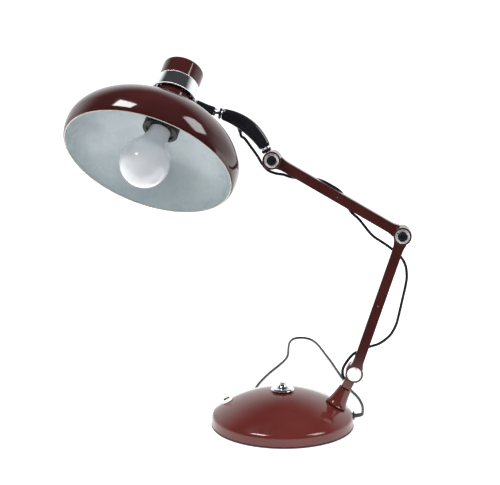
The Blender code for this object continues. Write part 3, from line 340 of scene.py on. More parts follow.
def opal():
    finish = Finish("opal_glass_white", "opal_glass", IOR=1.5, Coat_Weight=0.6, Coat_Roughness=0.03)
    cloud = finish.noise(40.0, 3.0)
    finish.feed("Base Color", finish.tint(finish.band(cloud, 0.35, 0.7), (0.71, 0.73, 0.77),
                                          (0.76, 0.78, 0.81)))
    finish.feed("Roughness", finish.band(finish.noise(120.0, 4.0), 0.35, 0.7, 0.16, 0.24))
    finish.bump(finish.noise(700.0, 2.0), 0.02, 0.0002)
    return finish


OPAL = opal()
FINISH_OF_SLOT = {
    "oxblood_paint": ENAMEL, "chrome": CHROME, "zinc_steel": STEEL, "cast_iron": IRON, "brass": BRASS,
    "black_gloss_plastic": GLOSS_BLACK, "black_bakelite": BAKELITE, "black_rubber": RUBBER,
    "black_pvc": SHEATH, "felt": FELT, "opal_glass": OPAL, "white_plastic": LEVER_WHITE,
    "red_fibre": FIBRE,
}
SLOT_OF_NODE = {part["node"]: part["material_slot"] for part in frame["record"]["subparts"]}
for node_name, node_object in frame["nodes"].items():
    node_object.data.materials.clear()
    node_object.data.materials.append(FINISH_OF_SLOT[SLOT_OF_NODE[node_name]].material)


# ---------------------------------------------------------------- modelling helpers
def alone(obj):
    """Only this object is selected and active."""
    for other in bpy.context.selected_objects:
        other.select_set(False)
    bpy.context.view_layer.objects.active = obj
    obj.select_set(True)


def edit(obj):
    """Into edit mode, with nothing of the mesh selected."""
    alone(obj)
    bpy.ops.object.mode_set(mode="EDIT")
    bpy.ops.mesh.select_all(action="DESELECT")


def pick(obj, test, kind="VERT"):
    """Select, in edit mode, the vertices or faces that pass a test of their place or normal."""
    bpy.ops.mesh.select_all(action="DESELECT")
    bpy.ops.mesh.select_mode(type=kind)
    bpy.ops.object.mode_set(mode="OBJECT")
    items = obj.data.vertices if kind == "VERT" else obj.data.polygons
    for item in items:
        item.select = bool(test(item))
    bpy.ops.object.mode_set(mode="EDIT")


def done():
    bpy.ops.object.mode_set(mode="OBJECT")


def closed_up(obj):
    """Merge doubles and point every face outwards."""
    edit(obj)
    bpy.ops.mesh.select_all(action="SELECT")
    bpy.ops.mesh.remove_doubles(threshold=0.000005)
    bpy.ops.mesh.normals_make_consistent(inside=False)
    done()


def finished(obj, finish, body, nodes=(), smooth=30, place=Matrix.Identity(4), weighted=True):
    """Put the piece in place, with its place in its mesh, and tie it to its body and CAD nodes."""
    obj.data.transform(place)
    alone(obj)
    bpy.ops.object.shade_smooth_by_angle(angle=math.radians(smooth))
    if weighted:
        applied(obj, "WEIGHTED_NORMAL", weight=60, keep_sharp=True)
    if not obj.data.materials:
        obj.data.materials.append(finish.material)
    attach(obj, body)
    if nodes:
        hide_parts(*nodes)
    return obj


def applied(obj, kind, **settings):
    """Add a modifier and apply it."""
    alone(obj)
    modifier = obj.modifiers.new(kind.lower(), kind)
    for key, value in settings.items():
        setattr(modifier, key, value)
    bpy.ops.object.modifier_apply(modifier=modifier.name)
    return obj


def spun(name, profile, segments=64, closed=False):
    """A turned piece: one point is drawn out into a profile, which is then spun about Z."""
    bpy.ops.object.select_all(action="DESELECT")
    bpy.ops.mesh.primitive_plane_add(size=0.001)
    obj = bpy.context.active_object
    obj.name = obj.data.name = name
    bpy.ops.object.mode_set(mode="EDIT")
    bpy.ops.mesh.select_mode(type="VERT")
    bpy.ops.mesh.select_all(action="SELECT")
    bpy.ops.mesh.merge(type="CENTER")
    bpy.ops.transform.translate(value=(profile[0][0], 0, profile[0][1]))
    for (r0, z0), (r1, z1) in zip(profile, profile[1:]):
        bpy.ops.mesh.extrude_region_move(TRANSFORM_OT_translate={"value": (r1 - r0, 0, z1 - z0)})
    if closed:
        ends = (len(profile) - 1, 0)
        bpy.ops.object.mode_set(mode="OBJECT")
        for vertex in obj.data.vertices:
            vertex.select = vertex.index in ends
        bpy.ops.object.mode_set(mode="EDIT")
        bpy.ops.mesh.edge_face_add()
    bpy.ops.mesh.select_all(action="SELECT")
    bpy.ops.mesh.spin(steps=segments, angle=2 * math.pi, center=(0, 0, 0), axis=(0, 0, 1))
    done()
    closed_up(obj)
    return obj


def block(name, low, high):
    """A box between two corners, its size made in edit mode."""
    bpy.ops.object.select_all(action="DESELECT")
    low, high = Vector(low), Vector(high)
    bpy.ops.mesh.primitive_cube_add(size=1.0)
    obj = bpy.context.active_object
    obj.name = obj.data.name = name
    bpy.ops.object.mode_set(mode="EDIT")
    bpy.ops.mesh.select_all(action="SELECT")
    bpy.ops.transform.resize(value=high - low, center_override=(0, 0, 0))
    bpy.ops.transform.translate(value=(low + high) / 2)
    done()
    return obj


def rounded(corner, radius, start, end, steps=5):
    """Profile points around a rounded corner, from one angle to another in degrees."""
    return [(corner[0] + radius * math.cos(math.radians(start + (end - start) * k / steps)),
             corner[1] + radius * math.sin(math.radians(start + (end - start) * k / steps)))
            for k in range(steps + 1)]


def arc(radius, degrees, height=0.0):
    """Profile points on a circle about the axis, at these angles above its middle."""
    return [(radius * math.cos(math.radians(d)), height + radius * math.sin(math.radians(d)))
            for d in degrees]


def curved(points, step):
    """Points a step apart on the smooth curve through a route's own points."""
    pts = [Vector(p) for p in points]
    ends = [2 * pts[0] - pts[1]] + pts + [2 * pts[-1] - pts[-2]]
    fine = []
    for i in range(1, len(ends) - 2):
        a, b, c, d = ends[i - 1:i + 3]
        for k in range(16):
            t = k / 16
            fine.append(0.5 * ((2 * b) + (c - a) * t + (2 * a - 5 * b + 4 * c - d) * t ** 2
                               + (3 * b - a - 3 * c + d) * t ** 3))
    fine.append(pts[-1])
    out = [fine[0]]
    for point in fine:
        if (point - out[-1]).length >= step:
            out.append(point)
    if (out[-1] - fine[-1]).length < step / 2:
        out.pop()
    return out + [fine[-1]]


def tube(name, points, radii, sides=4):
    """A round lead through these points, with its radius at each, as a mesh with closed ends."""
    curve = bpy.data.curves.new(name, "CURVE")
    curve.dimensions = "3D"
    curve.bevel_depth = 1.0
    curve.bevel_resolution = sides
    curve.use_fill_caps = True
    spline = curve.splines.new("POLY")
    spline.points.add(len(points) - 1)
    for knot, where, radius in zip(spline.points, points, radii):
        knot.co = (*where, 1.0)
        knot.radius = radius
    obj = bpy.data.objects.new(name, curve)
    bpy.context.scene.collection.objects.link(obj)
    alone(obj)
    bpy.ops.object.convert(target="MESH")
    obj = bpy.context.active_object
    closed_up(obj)
    return obj


# ---------------------------------------------------------------- mains cord
RELIEF_ROUTE = [
    (0.0908, 0.0128, 0.0105), (0.0950, 0.0145, 0.0103), (0.0981, 0.0190, 0.0095),
    (0.0998, 0.0250, 0.0082), (0.1006, 0.0310, 0.0067),
]
MAINS_ROUTE = [
    (0.1006, 0.0310, 0.0067), (0.1010, 0.0420, 0.0044), (0.1012, 0.0540, 0.0026),
    (0.1011, 0.0660, 0.0019), (0.1005, 0.0780, 0.0019), (0.0985, 0.0920, 0.0019),
    (0.0950, 0.1100, 0.0019), (0.0900, 0.1270, 0.0019), (0.0840, 0.1440, 0.0019),
    (0.0760, 0.1770, 0.0019), (0.0680, 0.2090, 0.0019), (0.0590, 0.2460, 0.0019),
    (0.0490, 0.2880, 0.0019), (0.0390, 0.3260, 0.0019), (0.0310, 0.3570, 0.0019),
    (0.0225, 0.3860, 0.0019), (0.0135, 0.4070, 0.0019), (0.0025, 0.4180, 0.0019),
    (-0.0090, 0.4185, 0.0019), (-0.0175, 0.4095, 0.0019), (-0.0210, 0.3920, 0.0019),
    (-0.0214, 0.3720, 0.0019), (-0.0200, 0.3450, 0.0019), (-0.0185, 0.3180, 0.0019),
    (-0.0190, 0.2970, 0.0019), (-0.0225, 0.2760, 0.0019), (-0.0275, 0.2540, 0.0019),
    (-0.0345, 0.2270, 0.0019), (-0.0415, 0.1960, 0.0019), (-0.0468, 0.1650, 0.0019),
    (-0.0492, 0.1440, 0.0019), (-0.0493, 0.1341, 0.0019), (-0.0477, 0.1271, 0.0019),
    (-0.0432, 0.1215, 0.0019), (-0.0366, 0.1185, 0.0019), (-0.0294, 0.1186, 0.0019),
]
TAIL_ROUTE = [
    (-0.0226, 0.0914, 0.0054), (-0.0256, 0.0911, 0.0054), (-0.0286, 0.0910, 0.0054),
    (-0.0316, 0.0913, 0.0053), (-0.0344, 0.0918, 0.0053),
]


def hank_point(along, across, height):
    """A point of the hank, whose straight shape is bent around the back of the base."""
    angle = HANK_ANGLE - along / HANK_MIDDLE
    radius = HANK_MIDDLE + across
    return Vector((-radius * math.sin(angle), radius * math.cos(angle), height))


def hank_winding():
    """Four turns, two wide and two deep: bottom outer, bottom inner, top inner, top outer."""
    inner, outer = HANK_FOLD, HANK_FOLD + CORD
    low, high = CORD / 2 + TABLE_GAP, CORD * 1.5 + TABLE_GAP
    lanes = [(outer, low), (inner, low), (inner, high), (outer, high)]
    half = HANK_RUN / 2
    points = []
    for turn, (reach, height) in enumerate(lanes):
        left = -half + (HANK_STAGGER if turn == 1 else 0.0)
        start = -half + (HANK_STAGGER if turn == 2 else 0.0)
        points += [hank_point(start + (half - start) * k / 8, reach, height) for k in range(8)]
        points += [hank_point(half + reach * math.sin(math.pi * k / 10),
                              reach * math.cos(math.pi * k / 10), height) for k in range(10)]
        points += [hank_point(half + (left - half) * k / 8, -reach, height) for k in range(8)]
        if turn == 3:
            points.append(hank_point(-half, -reach, height))
            break
        reach_2, height_2 = lanes[turn + 1]
        for k in range(10):
            share = k / 10
            ease = share * share * (3 - 2 * share)
            r = reach + (reach_2 - reach) * ease
            points.append(hank_point(left - r * math.sin(math.pi * share),
                                     -r * math.cos(math.pi * share),
                                     height + (height_2 - height) * ease))
    return points


def build_mains():
    route = curved([EXIT_POINT] + RELIEF_ROUTE[1:] + MAINS_ROUTE[1:], 0.003)
    winding = hank_winding()
    tail = [Vector(p) for p in TAIL_ROUTE[1:]]
    path = curved(route + winding + tail, 0.0022)
    cord = tube("mains_cord_lead", path, [CORD / 2] * len(path), sides=3)
    finished(cord, SHEATH, "base", ["mains_cord", "mains_hank", "mains_tail"], 60,
             weighted=False)
    length = sum((b - a).length for a, b in zip(path, path[1:]))

    seat = axis_frame(EXIT_POINT, EXIT_DIRECTION, (0, 0, 1))
    flange = spun("relief_flange", [(0.0, 0.0018), *rounded((0.0046, 0.0010), 0.0010, 90, 0),
                                    (0.0056, 0.0003), (0.0030, 0.0002), (0.0, 0.0002)], 48)
    finished(flange, RUBBER, "base", (), place=seat)
    sleeve_path = curved([EXIT_POINT] + RELIEF_ROUTE[1:], 0.0005)
    sleeve = relief_sleeve(sleeve_path)
    finished(sleeve, RUBBER, "base", ["strain_relief"], 45)

    plug = plug_body()
    tie = hank_tie()
    pins()


def relief_sleeve(points):
    """A tapering sleeve with rings moulded around it."""
    radii = []
    for i in range(len(points)):
        share = i / (len(points) - 1)
        groove = 0.00028 * (0.5 - 0.5 * math.cos(2 * math.pi * i / 5)) if share > 0.12 else 0.0
        radii.append(0.0030 - 0.0008 * share - groove)
    return tube("relief_sleeve", points, radii)


def copied(node, name, bevel=0.0, segments=2):
    """A merged copy of a CAD node's shape, with its edges rounded if a bevel is given."""
    source = frame["nodes"][node]
    mesh = source.data.copy()
    mesh.name = name
    obj = bpy.data.objects.new(name, mesh)
    bpy.context.scene.collection.objects.link(obj)
    obj.data.materials.clear()
    closed_up(obj)
    edit(obj)
    bpy.ops.mesh.select_all(action="SELECT")
    bpy.ops.mesh.dissolve_limited(angle_limit=math.radians(2))
    done()
    if bevel:
        applied(obj, "BEVEL", width=bevel, segments=segments, limit_method="ANGLE",
                angle_limit=math.radians(35), miter_outer="MITER_ARC")
    return obj


def plug_body():
    return finished(copied("plug_body", "plug_moulding"), RUBBER, "base", ["plug_body"], 60)


def hank_tie():
    return finished(copied("hank_tie", "hank_strap", 0.0003), RUBBER, "base", ["hank_tie"], 40)


def pins():
    entry = Vector(TAIL_ROUTE[-1])
    way = entry - Vector(TAIL_ROUTE[-3])
    way.z = 0.0
    seat = axis_frame(Vector((entry.x, entry.y, 0)), (0, 0, 1), way)
    made = []
    reach, height = PLUG_FACE
    for tag, y in (("left", -PIN_OFFSET), ("right", PIN_OFFSET)):
        place = seat @ Matrix.Translation((reach, y, height)) @ Matrix.Rotation(math.pi / 2, 4, "Y")
        pin = spun(f"pin_{tag}", [(0.0, 0.0229), (0.0012, 0.0226), (0.0018, 0.0218), (0.0019, 0.0140),
                                  (0.0015, 0.0136), (0.0015, 0.0064), (0.0019, 0.0060),
                                  (0.0019, 0.0003), (0.0, 0.0003)], 32)
        made.append(finished(pin, NICKEL, "base", [f"plug_pin_{tag}"], place=place))
    return made


build_mains()


# ---------------------------------------------------------------- base, pedestal and switch
def build_base():
    fillet = 0.0075
    slope = math.asin((BASE_RADIUS - fillet) / DOME_RADIUS)
    reach = BASE_RADIUS - fillet * (1 - math.sin(slope))
    outside = [(0.0, DOME_TOP)] + [(reach * k / 28, dome_height(reach * k / 28)) for k in range(1, 29)]
    top = dome_height(reach)
    for k in range(1, 9):
        a = slope + (math.pi / 2 - slope) * k / 8
        outside.append((BASE_RADIUS - fillet * (1 - math.sin(a)),
                        top - fillet * (math.cos(slope) - math.cos(a))))
    outside += [(BASE_RADIUS, 0.0060), (BASE_RADIUS, 0.0024), (BASE_RADIUS - 0.0003, 0.0021)]
    inside = [(max(0.0, r - 0.0013), z - 0.0012) for r, z in reversed(outside[1:-3])]
    shell = spun("base_dome", [*outside, (BASE_RADIUS - 0.0012, 0.0021), *inside, (0.0, DOME_TOP - 0.0012)],
                 160)
    finished(shell, BASE_ENAMEL_LIT_COPY, "base", ["base_shell"], 40)
    trim = spun("base_trim", [*rounded((0.0899, 0.0011), 0.0007, 90, -90, 6),
                              (0.0868, 0.0002), (0.0868, 0.0018)], 128, True)
    finished(trim, RUBBER, "base", ["edge_trim"], 50)

    low = DOME_TOP + 0.0003
    flare = [(0.0052 + 0.0080 * (1 - math.cos(math.radians(d))) ** 1.25,
              0.0553 - 0.0066 * math.sin(math.radians(d))) for d in range(0, 91, 6)]
    nut = spun("finial_nut", [
        (0.0, 0.0560), (0.0044, 0.0560), (0.0050, 0.0557), *flare, (0.0141, 0.0482),
        *rounded((0.0141, low + 0.0014), 0.0006, 60, -90, 5), (0.0, low)], 96)
    finished(nut, CHROME, "base", ["finial"], 35)

    cone = spun("pedestal_cone", [
        (0.0024, CONE_HEIGHT), *rounded((0.0077, CONE_HEIGHT - 0.0006), 0.0006, 90, 10, 4),
        (0.0086, 0.0208), (0.0093, 0.0165), (0.0101, 0.0122), (0.0109, 0.0085), (0.0116, 0.0060),
        (0.0123, 0.0042), (0.0132, 0.0028), (0.0140, 0.0020), (0.0140, 0.0012), (0.0100, 0.0012),
        (0.0070, 0.0160), (0.0060, CONE_HEIGHT - 0.0020), (0.0024, CONE_HEIGHT - 0.0020)], 96, True)
    finished(cone, BASE_ENAMEL_LIT_COPY, "base", ["pedestal"], 35, PEDESTAL_FRAME)


def build_switch():
    lever_axis = Matrix.Rotation(LEVER_LEAN, 3, "Y") @ SWITCH_AXIS
    lever = spun("switch_lever_white", [
        (0.0, 0.0118), *rounded((0.0, 0.0099), 0.0019, 80, 0, 6), (0.0018, 0.0085), (0.0017, 0.0062),
        (0.0021, 0.0034), (0.0021, 0.0024), (0.0014, 0.0018), (0.0014, -0.0022), (0.0, -0.0022)], 40)
    finished(lever, LEVER_WHITE, "switch_lever", ["toggle_lever"], 50,
             axis_frame(SWITCH_POINT + SWITCH_AXIS * 0.0030, lever_axis))
    nut = spun("switch_bezel", [(0.0043, 0.0041), *rounded((0.0055, 0.0034), 0.0007, 90, 20, 4),
                                (0.0066, 0.0012), (0.0067, 0.0005), (0.0043, 0.0005)], 48, True)
    finished(nut, LEVER_WHITE, "base", ["switch_nut"], 35, axis_frame(SWITCH_POINT, SWITCH_AXIS))


build_base()
build_switch()


# ---------------------------------------------------------------- arms and their joints
def knuckle(name, centre, side, body, nodes=(), finish=ENAMEL):
    """The round end of an arm: a barrel with rounded lips, a recess outside and a bored hub."""
    recess, hub = RING_RADIUS - RING_WALL, FAR - RECESS
    barrel = spun(name, [
        (BORE, hub), (recess, hub), *rounded((recess + 0.0005, FAR - 0.0005), 0.0005, 180, 90, 3),
        *rounded((RING_RADIUS - 0.0006, FAR - 0.0006), 0.0006, 90, 0, 4),
        *rounded((RING_RADIUS - 0.0004, NEAR + 0.0004), 0.0004, 0, -90, 3), (BORE, NEAR)], 72, True)
    return finished(barrel, finish, body, nodes, 35, axis_frame(centre, (0, side, 0), (1, 0, 0)))


def channel(name, start, end, side, body, nodes):
    """A folded channel: a bar is divided near its ends, flared there and hollowed from one side."""
    half, near, far = ARM_WIDTH / 2, NEAR + 0.0001, FAR - 0.0002
    first, last = RING_RADIUS - 0.0024, ARM_LENGTH - RING_RADIUS + 0.0024
    bar = block(name, (near, -half, first), (far, half, last))
    edit(bar)
    for offset in (0.0020, 0.0045, 0.0080, 0.0130):
        for where in (first + offset, last - offset):
            bpy.ops.mesh.select_all(action="SELECT")
            bpy.ops.mesh.bisect(plane_co=(0, 0, where), plane_no=(0, 0, 1))
    for offset, wide in ((0.0, 1.30), (0.0020, 1.20), (0.0045, 1.09), (0.0080, 1.02)):
        for where in (first + offset, last - offset):
            pick(bar, lambda v: abs(v.co.z - where) < 0.0001)
            bpy.ops.transform.resize(value=(1, wide, 1), center_override=(0, 0, 0))
    pick(bar, lambda f: f.normal.x * side > 0.9, "FACE")
    bpy.ops.mesh.inset(thickness=CHANNEL_WALL)
    depth = far - near - CHANNEL_WALL
    bpy.ops.mesh.extrude_region_move(TRANSFORM_OT_translate={"value": (-side * depth, 0, 0)})
    done()
    closed_up(bar)
    applied(bar, "BEVEL", width=0.0005, segments=3, limit_method="ANGLE", angle_limit=math.radians(50))
    return finished(bar, ENAMEL, body, nodes, 30, axis_frame(start, end - start, (0, side, 0)))


def joint_face(name, centre, key_way, knob_body, disc_body):
    """The disc in a knuckle, near-white for a painted reflection, its small black key and, on two joints,
    the black knob.
    """
    front = axis_frame(centre, (0, -1, 0), (1, 0, 0))
    low = FAR - RECESS + 0.0003
    radius = RING_RADIUS - RING_WALL - 0.0003
    lip = [(radius - 0.0022, low + 0.0007), (radius - 0.0018, low + 0.0009),
           (radius - 0.0002, low + 0.0028), (radius, low + 0.0028), (radius, low)]
    if knob_body:
        profile = [(BORE, low + 0.0007), *lip, (BORE, low)]
    else:
        profile = [(0.0, low + 0.0014), (0.0030, low + 0.0013), (0.0055, low + 0.0010), *lip, (0.0, low)]
    plate = spun(name + "_plate", profile, 64, bool(knob_body))
    finished(plate, REFLECTION_WHITE_PLATE, disc_body, [name + "_disc"], 30, front)
    key_at = centre + key_way.normalized() * 0.0076
    key = spun(name + "_key", [
        (0.0, 0.0010), *rounded((0.0008, 0.0007), 0.0003, 90, 0, 3), (0.0011, -0.0004), (0.0, -0.0004)], 24)
    finished(key, GLOSS_BLACK, disc_body, (), 40,
             axis_frame(Vector((key_at.x, -low - 0.0009, key_at.z)), (0, -1, 0)))
    if knob_body:
        base, top, edge = low + 0.0012, FAR + 0.0012, 0.0009
        knob = spun(name + "_thumbnut", [
            (0.0, top - 0.0005), (0.0034, top - 0.0005),
            *rounded((0.0041, top - 0.0003), 0.0003, 180, 90, 3),
            *rounded((KNOB_RADIUS - edge, top - edge), edge, 90, 0, 5), (KNOB_RADIUS, base),
            (BORE, base), (BORE, base + 0.0010), (0.0, base + 0.0010)], 72)
        finished(knob, GLOSS_BLACK, knob_body, [name + "_knob"], 35, front)


def build_arms():
    knuckle("yoke_ring", SHOULDER, 1, "yoke", ["yoke"], BASE_ENAMEL_LIT_COPY)
    half = ARM_WIDTH / 2
    foot, shelf = CONE_HEIGHT + 0.0006, SHOULDER_RISE - RING_RADIUS - 0.0006
    post = block("yoke_post", (-half, -half, foot), (half, half, shelf))
    applied(post, "BEVEL", width=0.0012, segments=4, limit_method="ANGLE", angle_limit=math.radians(40))
    finished(post, BASE_ENAMEL_LIT_COPY, "yoke", (), 30, PEDESTAL_FRAME)
    cheek = block("yoke_cheek", (NEAR + 0.0001, 0.0004 - half, foot + 0.0030),
                  (FAR - 0.0036, half - 0.0004, SHOULDER_RISE - 0.0080))
    applied(cheek, "BEVEL", width=0.0008, segments=3, limit_method="ANGLE", angle_limit=math.radians(40))
    finished(cheek, BASE_ENAMEL_LIT_COPY, "yoke", (), 30, PEDESTAL_FRAME)

    channel("lower_channel", SHOULDER, ELBOW, -1, "lower_arm", ["lower_arm"])
    knuckle("lower_arm_foot_ring", SHOULDER, -1, "lower_arm")
    knuckle("lower_arm_top_ring", ELBOW, -1, "lower_arm")
    channel("upper_channel", ELBOW, WRIST, 1, "upper_arm", ["upper_arm"])
    knuckle("upper_arm_elbow_ring", ELBOW, 1, "upper_arm")
    knuckle("upper_arm_wrist_ring", WRIST, 1, "upper_arm")
    joint_face("shoulder", SHOULDER, ELBOW - SHOULDER, None, "lower_arm")
    joint_face("elbow", ELBOW, WRIST - ELBOW, "elbow_knob", "upper_arm")
    joint_face("wrist", WRIST, leaning(HANDLE_LEAN), "wrist_knob", "handle")


build_arms()


# ---------------------------------------------------------------- handle and ball joint
def build_grip():
    """The grip: a rounded section is swept along its arc by a spin, then swelled in the middle."""
    start = axis_frame(GRIP_START, leaning(HANDLE_LEAN), (0, 1, 0))
    bpy.ops.object.select_all(action="DESELECT")
    bpy.ops.mesh.primitive_plane_add(size=1.0)
    grip = bpy.context.active_object
    grip.name = grip.data.name = "grip_shell"
    bpy.ops.object.mode_set(mode="EDIT")
    bpy.ops.mesh.select_all(action="SELECT")
    bpy.ops.transform.resize(value=(2 * GRIP_HALF_DEPTH, 2 * GRIP_HALF_DEPTH, 1),
                             center_override=(0, 0, 0))
    bpy.ops.mesh.bevel(offset=0.0036, segments=7, affect="VERTICES")
    done()
    grip.data.transform(start)
    edit(grip)
    bpy.ops.mesh.select_all(action="SELECT")
    bpy.ops.mesh.spin(steps=36, angle=HANDLE_SWEEP, center=GRIP_CENTRE, axis=(0, 1, 0))
    done()
    closed_up(grip)
    for vertex in grip.data.vertices:
        arm = Vector((vertex.co.x - GRIP_CENTRE.x, 0, vertex.co.z - GRIP_CENTRE.z))
        share = min(1.0, max(0.0, (math.atan2(arm.z, arm.x) - HANDLE_LEAN) / HANDLE_SWEEP))
        swell = (GRIP_HALF_WIDTH + GRIP_BULGE * math.sin(math.pi * share)) / GRIP_HALF_DEPTH
        ends = min(share, 1 - share) * HANDLE_RADIUS * HANDLE_SWEEP
        draw_in = 1.0 - 0.14 * max(0.0, 1 - ends / 0.0022) ** 2
        thick = (arm.length - HANDLE_RADIUS) * swell * draw_in
        place = GRIP_CENTRE + arm.normalized() * (HANDLE_RADIUS + thick)
        vertex.co = (place.x, FRONT_Y + (vertex.co.y - FRONT_Y) * draw_in, place.z)
    finished(grip, GLOSS_BLACK, "handle", ["grip"], 40)


def build_handle():
    build_grip()
    lean = leaning(HANDLE_LEAN)
    seat = axis_frame(Vector((WRIST.x, FRONT_Y, WRIST.z)), lean, (0, 1, 0))
    knuckle("handle_ring", WRIST, -1, "handle", ["handle_bracket"])
    spigot = spun("handle_spigot", [(0.0, 0.0262), (0.0026, 0.0260), (0.0026, 0.0100), (0.0, 0.0100)], 32)
    finished(spigot, STEEL, "handle", (), 35, seat)
    low = RING_RADIUS + 0.0002
    collar = block("handle_neck", (-0.0058, -0.0063, low), (0.0058, 0.0063, low + 0.0040))
    edit(collar)
    pick(collar, lambda v: v.co.z < low + 0.001)
    bpy.ops.transform.resize(value=(0.86, 0.86, 1), center_override=(0, 0, 0))
    done()
    applied(collar, "BEVEL", width=0.0009, segments=3, limit_method="ANGLE", angle_limit=math.radians(40))
    finished(collar, GLOSS_BLACK, "handle", ["handle_block"], 30, seat)
    ring_low = RING_RADIUS + 0.0043
    ring = spun("handle_ring_lower", [
        (0.0029, ring_low + 0.0017), *rounded((0.0062, ring_low + 0.0009), 0.0008, 90, -90, 8),
        (0.0029, ring_low + 0.0001)], 64, True)
    finished(ring, CHROME, "handle", ["handle_lower_ring"], 35, seat)

    end = axis_frame(GRIP_END, END_DIRECTION, (0, 1, 0))
    ring = spun("handle_ring_upper", [(0.0026, 0.0014), *rounded((0.0062, 0.0008), 0.0006, 90, -90, 8),
                                      (0.0026, 0.0002)], 64, True)
    finished(ring, CHROME, "handle", ["handle_upper_ring"], 35, end)
    collar = spun("ball_collar", [
        (0.0025, 0.0046), (0.0054, 0.0046), *rounded((0.0062, 0.0037), 0.0007, 60, 0, 4),
        (0.0069, 0.0024), (0.0064, 0.0017), (0.0025, 0.0017)], 64, True)
    finished(collar, GLOSS_BLACK, "ball_stud", ["swivel_collar"], 35, end)
    ball = [(BALL_RADIUS * math.sin(math.radians(d)), BALL_REACH + BALL_RADIUS * math.cos(math.radians(d)))
            for d in range(6, 151, 6)]
    stud = spun("ball_and_shank", [
        (0.0, BALL_REACH + BALL_RADIUS), *ball, (0.0021, 0.0050), (0.0021, -0.0070), (0.0, -0.0070)], 64)
    finished(stud, CHROME, "ball_stud", ["ball_stud"], 35, end)

    nub_at, nub_along = grip_point(NUB_AT)
    inwards = Vector((-nub_along.z, 0, nub_along.x))
    way = inwards * math.cos(NUB_TILT) - nub_along * math.sin(NUB_TILT)
    nub_frame = axis_frame(nub_at, way, nub_along)
    nub = spun("flex_boot", [(0.0, NUB_REACH), (0.0019, NUB_REACH), (0.0023, NUB_REACH - 0.0006),
                             (0.0026, 0.0110), (0.0029, 0.0098), (0.0029, 0.0060), (0.0, 0.0060)], 40)
    finished(nub, RUBBER, "handle", ["flex_nub"], 35, nub_frame)
    return nub_frame @ Vector((0, 0, NUB_REACH)), way


NUB_TIP, NUB_WAY = build_handle()


# ---------------------------------------------------------------- head
def build_shade():
    outside = [(0.0064, NECK_TOP), (NECK_RADIUS - 0.002, NECK_TOP),
               *rounded((NECK_RADIUS - 0.002, NECK_TOP - 0.002), 0.002, 80, 0, 4)]
    base = SHADE_WIDEST + SHADE_CROWN - 0.0006
    for degrees in range(0, 85, 12):
        a = math.radians(degrees)
        outside.append((NECK_RADIUS + 0.006 * (1 - math.cos(a)), base + 0.006 * (1 - math.sin(a))))
    last = outside[-1][0]
    for k in range(1, 61):
        a = math.pi / 2 * (1 - k / 60)
        r = SHADE_RADIUS * math.cos(a) ** (2 / 2.2)
        if r > last + 0.003:
            outside.append((r, SHADE_WIDEST + SHADE_CROWN * math.sin(a) ** (2 / 1.8)))
    for k in range(1, 11):
        a = math.pi / 2 * k / 10
        outside.append((OPENING_RADIUS + (SHADE_RADIUS - OPENING_RADIUS) * math.cos(a),
                        SHADE_WIDEST * (1 - math.sin(a))))
    shade = spun("shade_shell", outside, 160)
    for finish in (SHADE_ENAMEL_SHADED_COPY, SHADE_WHITE, SHADE_RIM):
        shade.data.materials.append(finish.material)
    applied(shade, "SOLIDIFY", thickness=SHADE_WALL, offset=-1.0, use_even_offset=True,
            material_offset=1, material_offset_rim=2)
    finished(shade, SHADE_ENAMEL_SHADED_COPY, "head", ["shade"], 40, SHADE_FRAME)
    edge = rounded((OPENING_RADIUS - 0.0004, 0.0004), 0.0008, 0, 330, 11)
    roll = spun("shade_edge_roll", edge, 160, True)
    finished(roll, SHADE_RIM, "head", (), 60, SHADE_FRAME)


BULB_LEAN_AXIS = Vector((0.30, 0.95, 0.0))


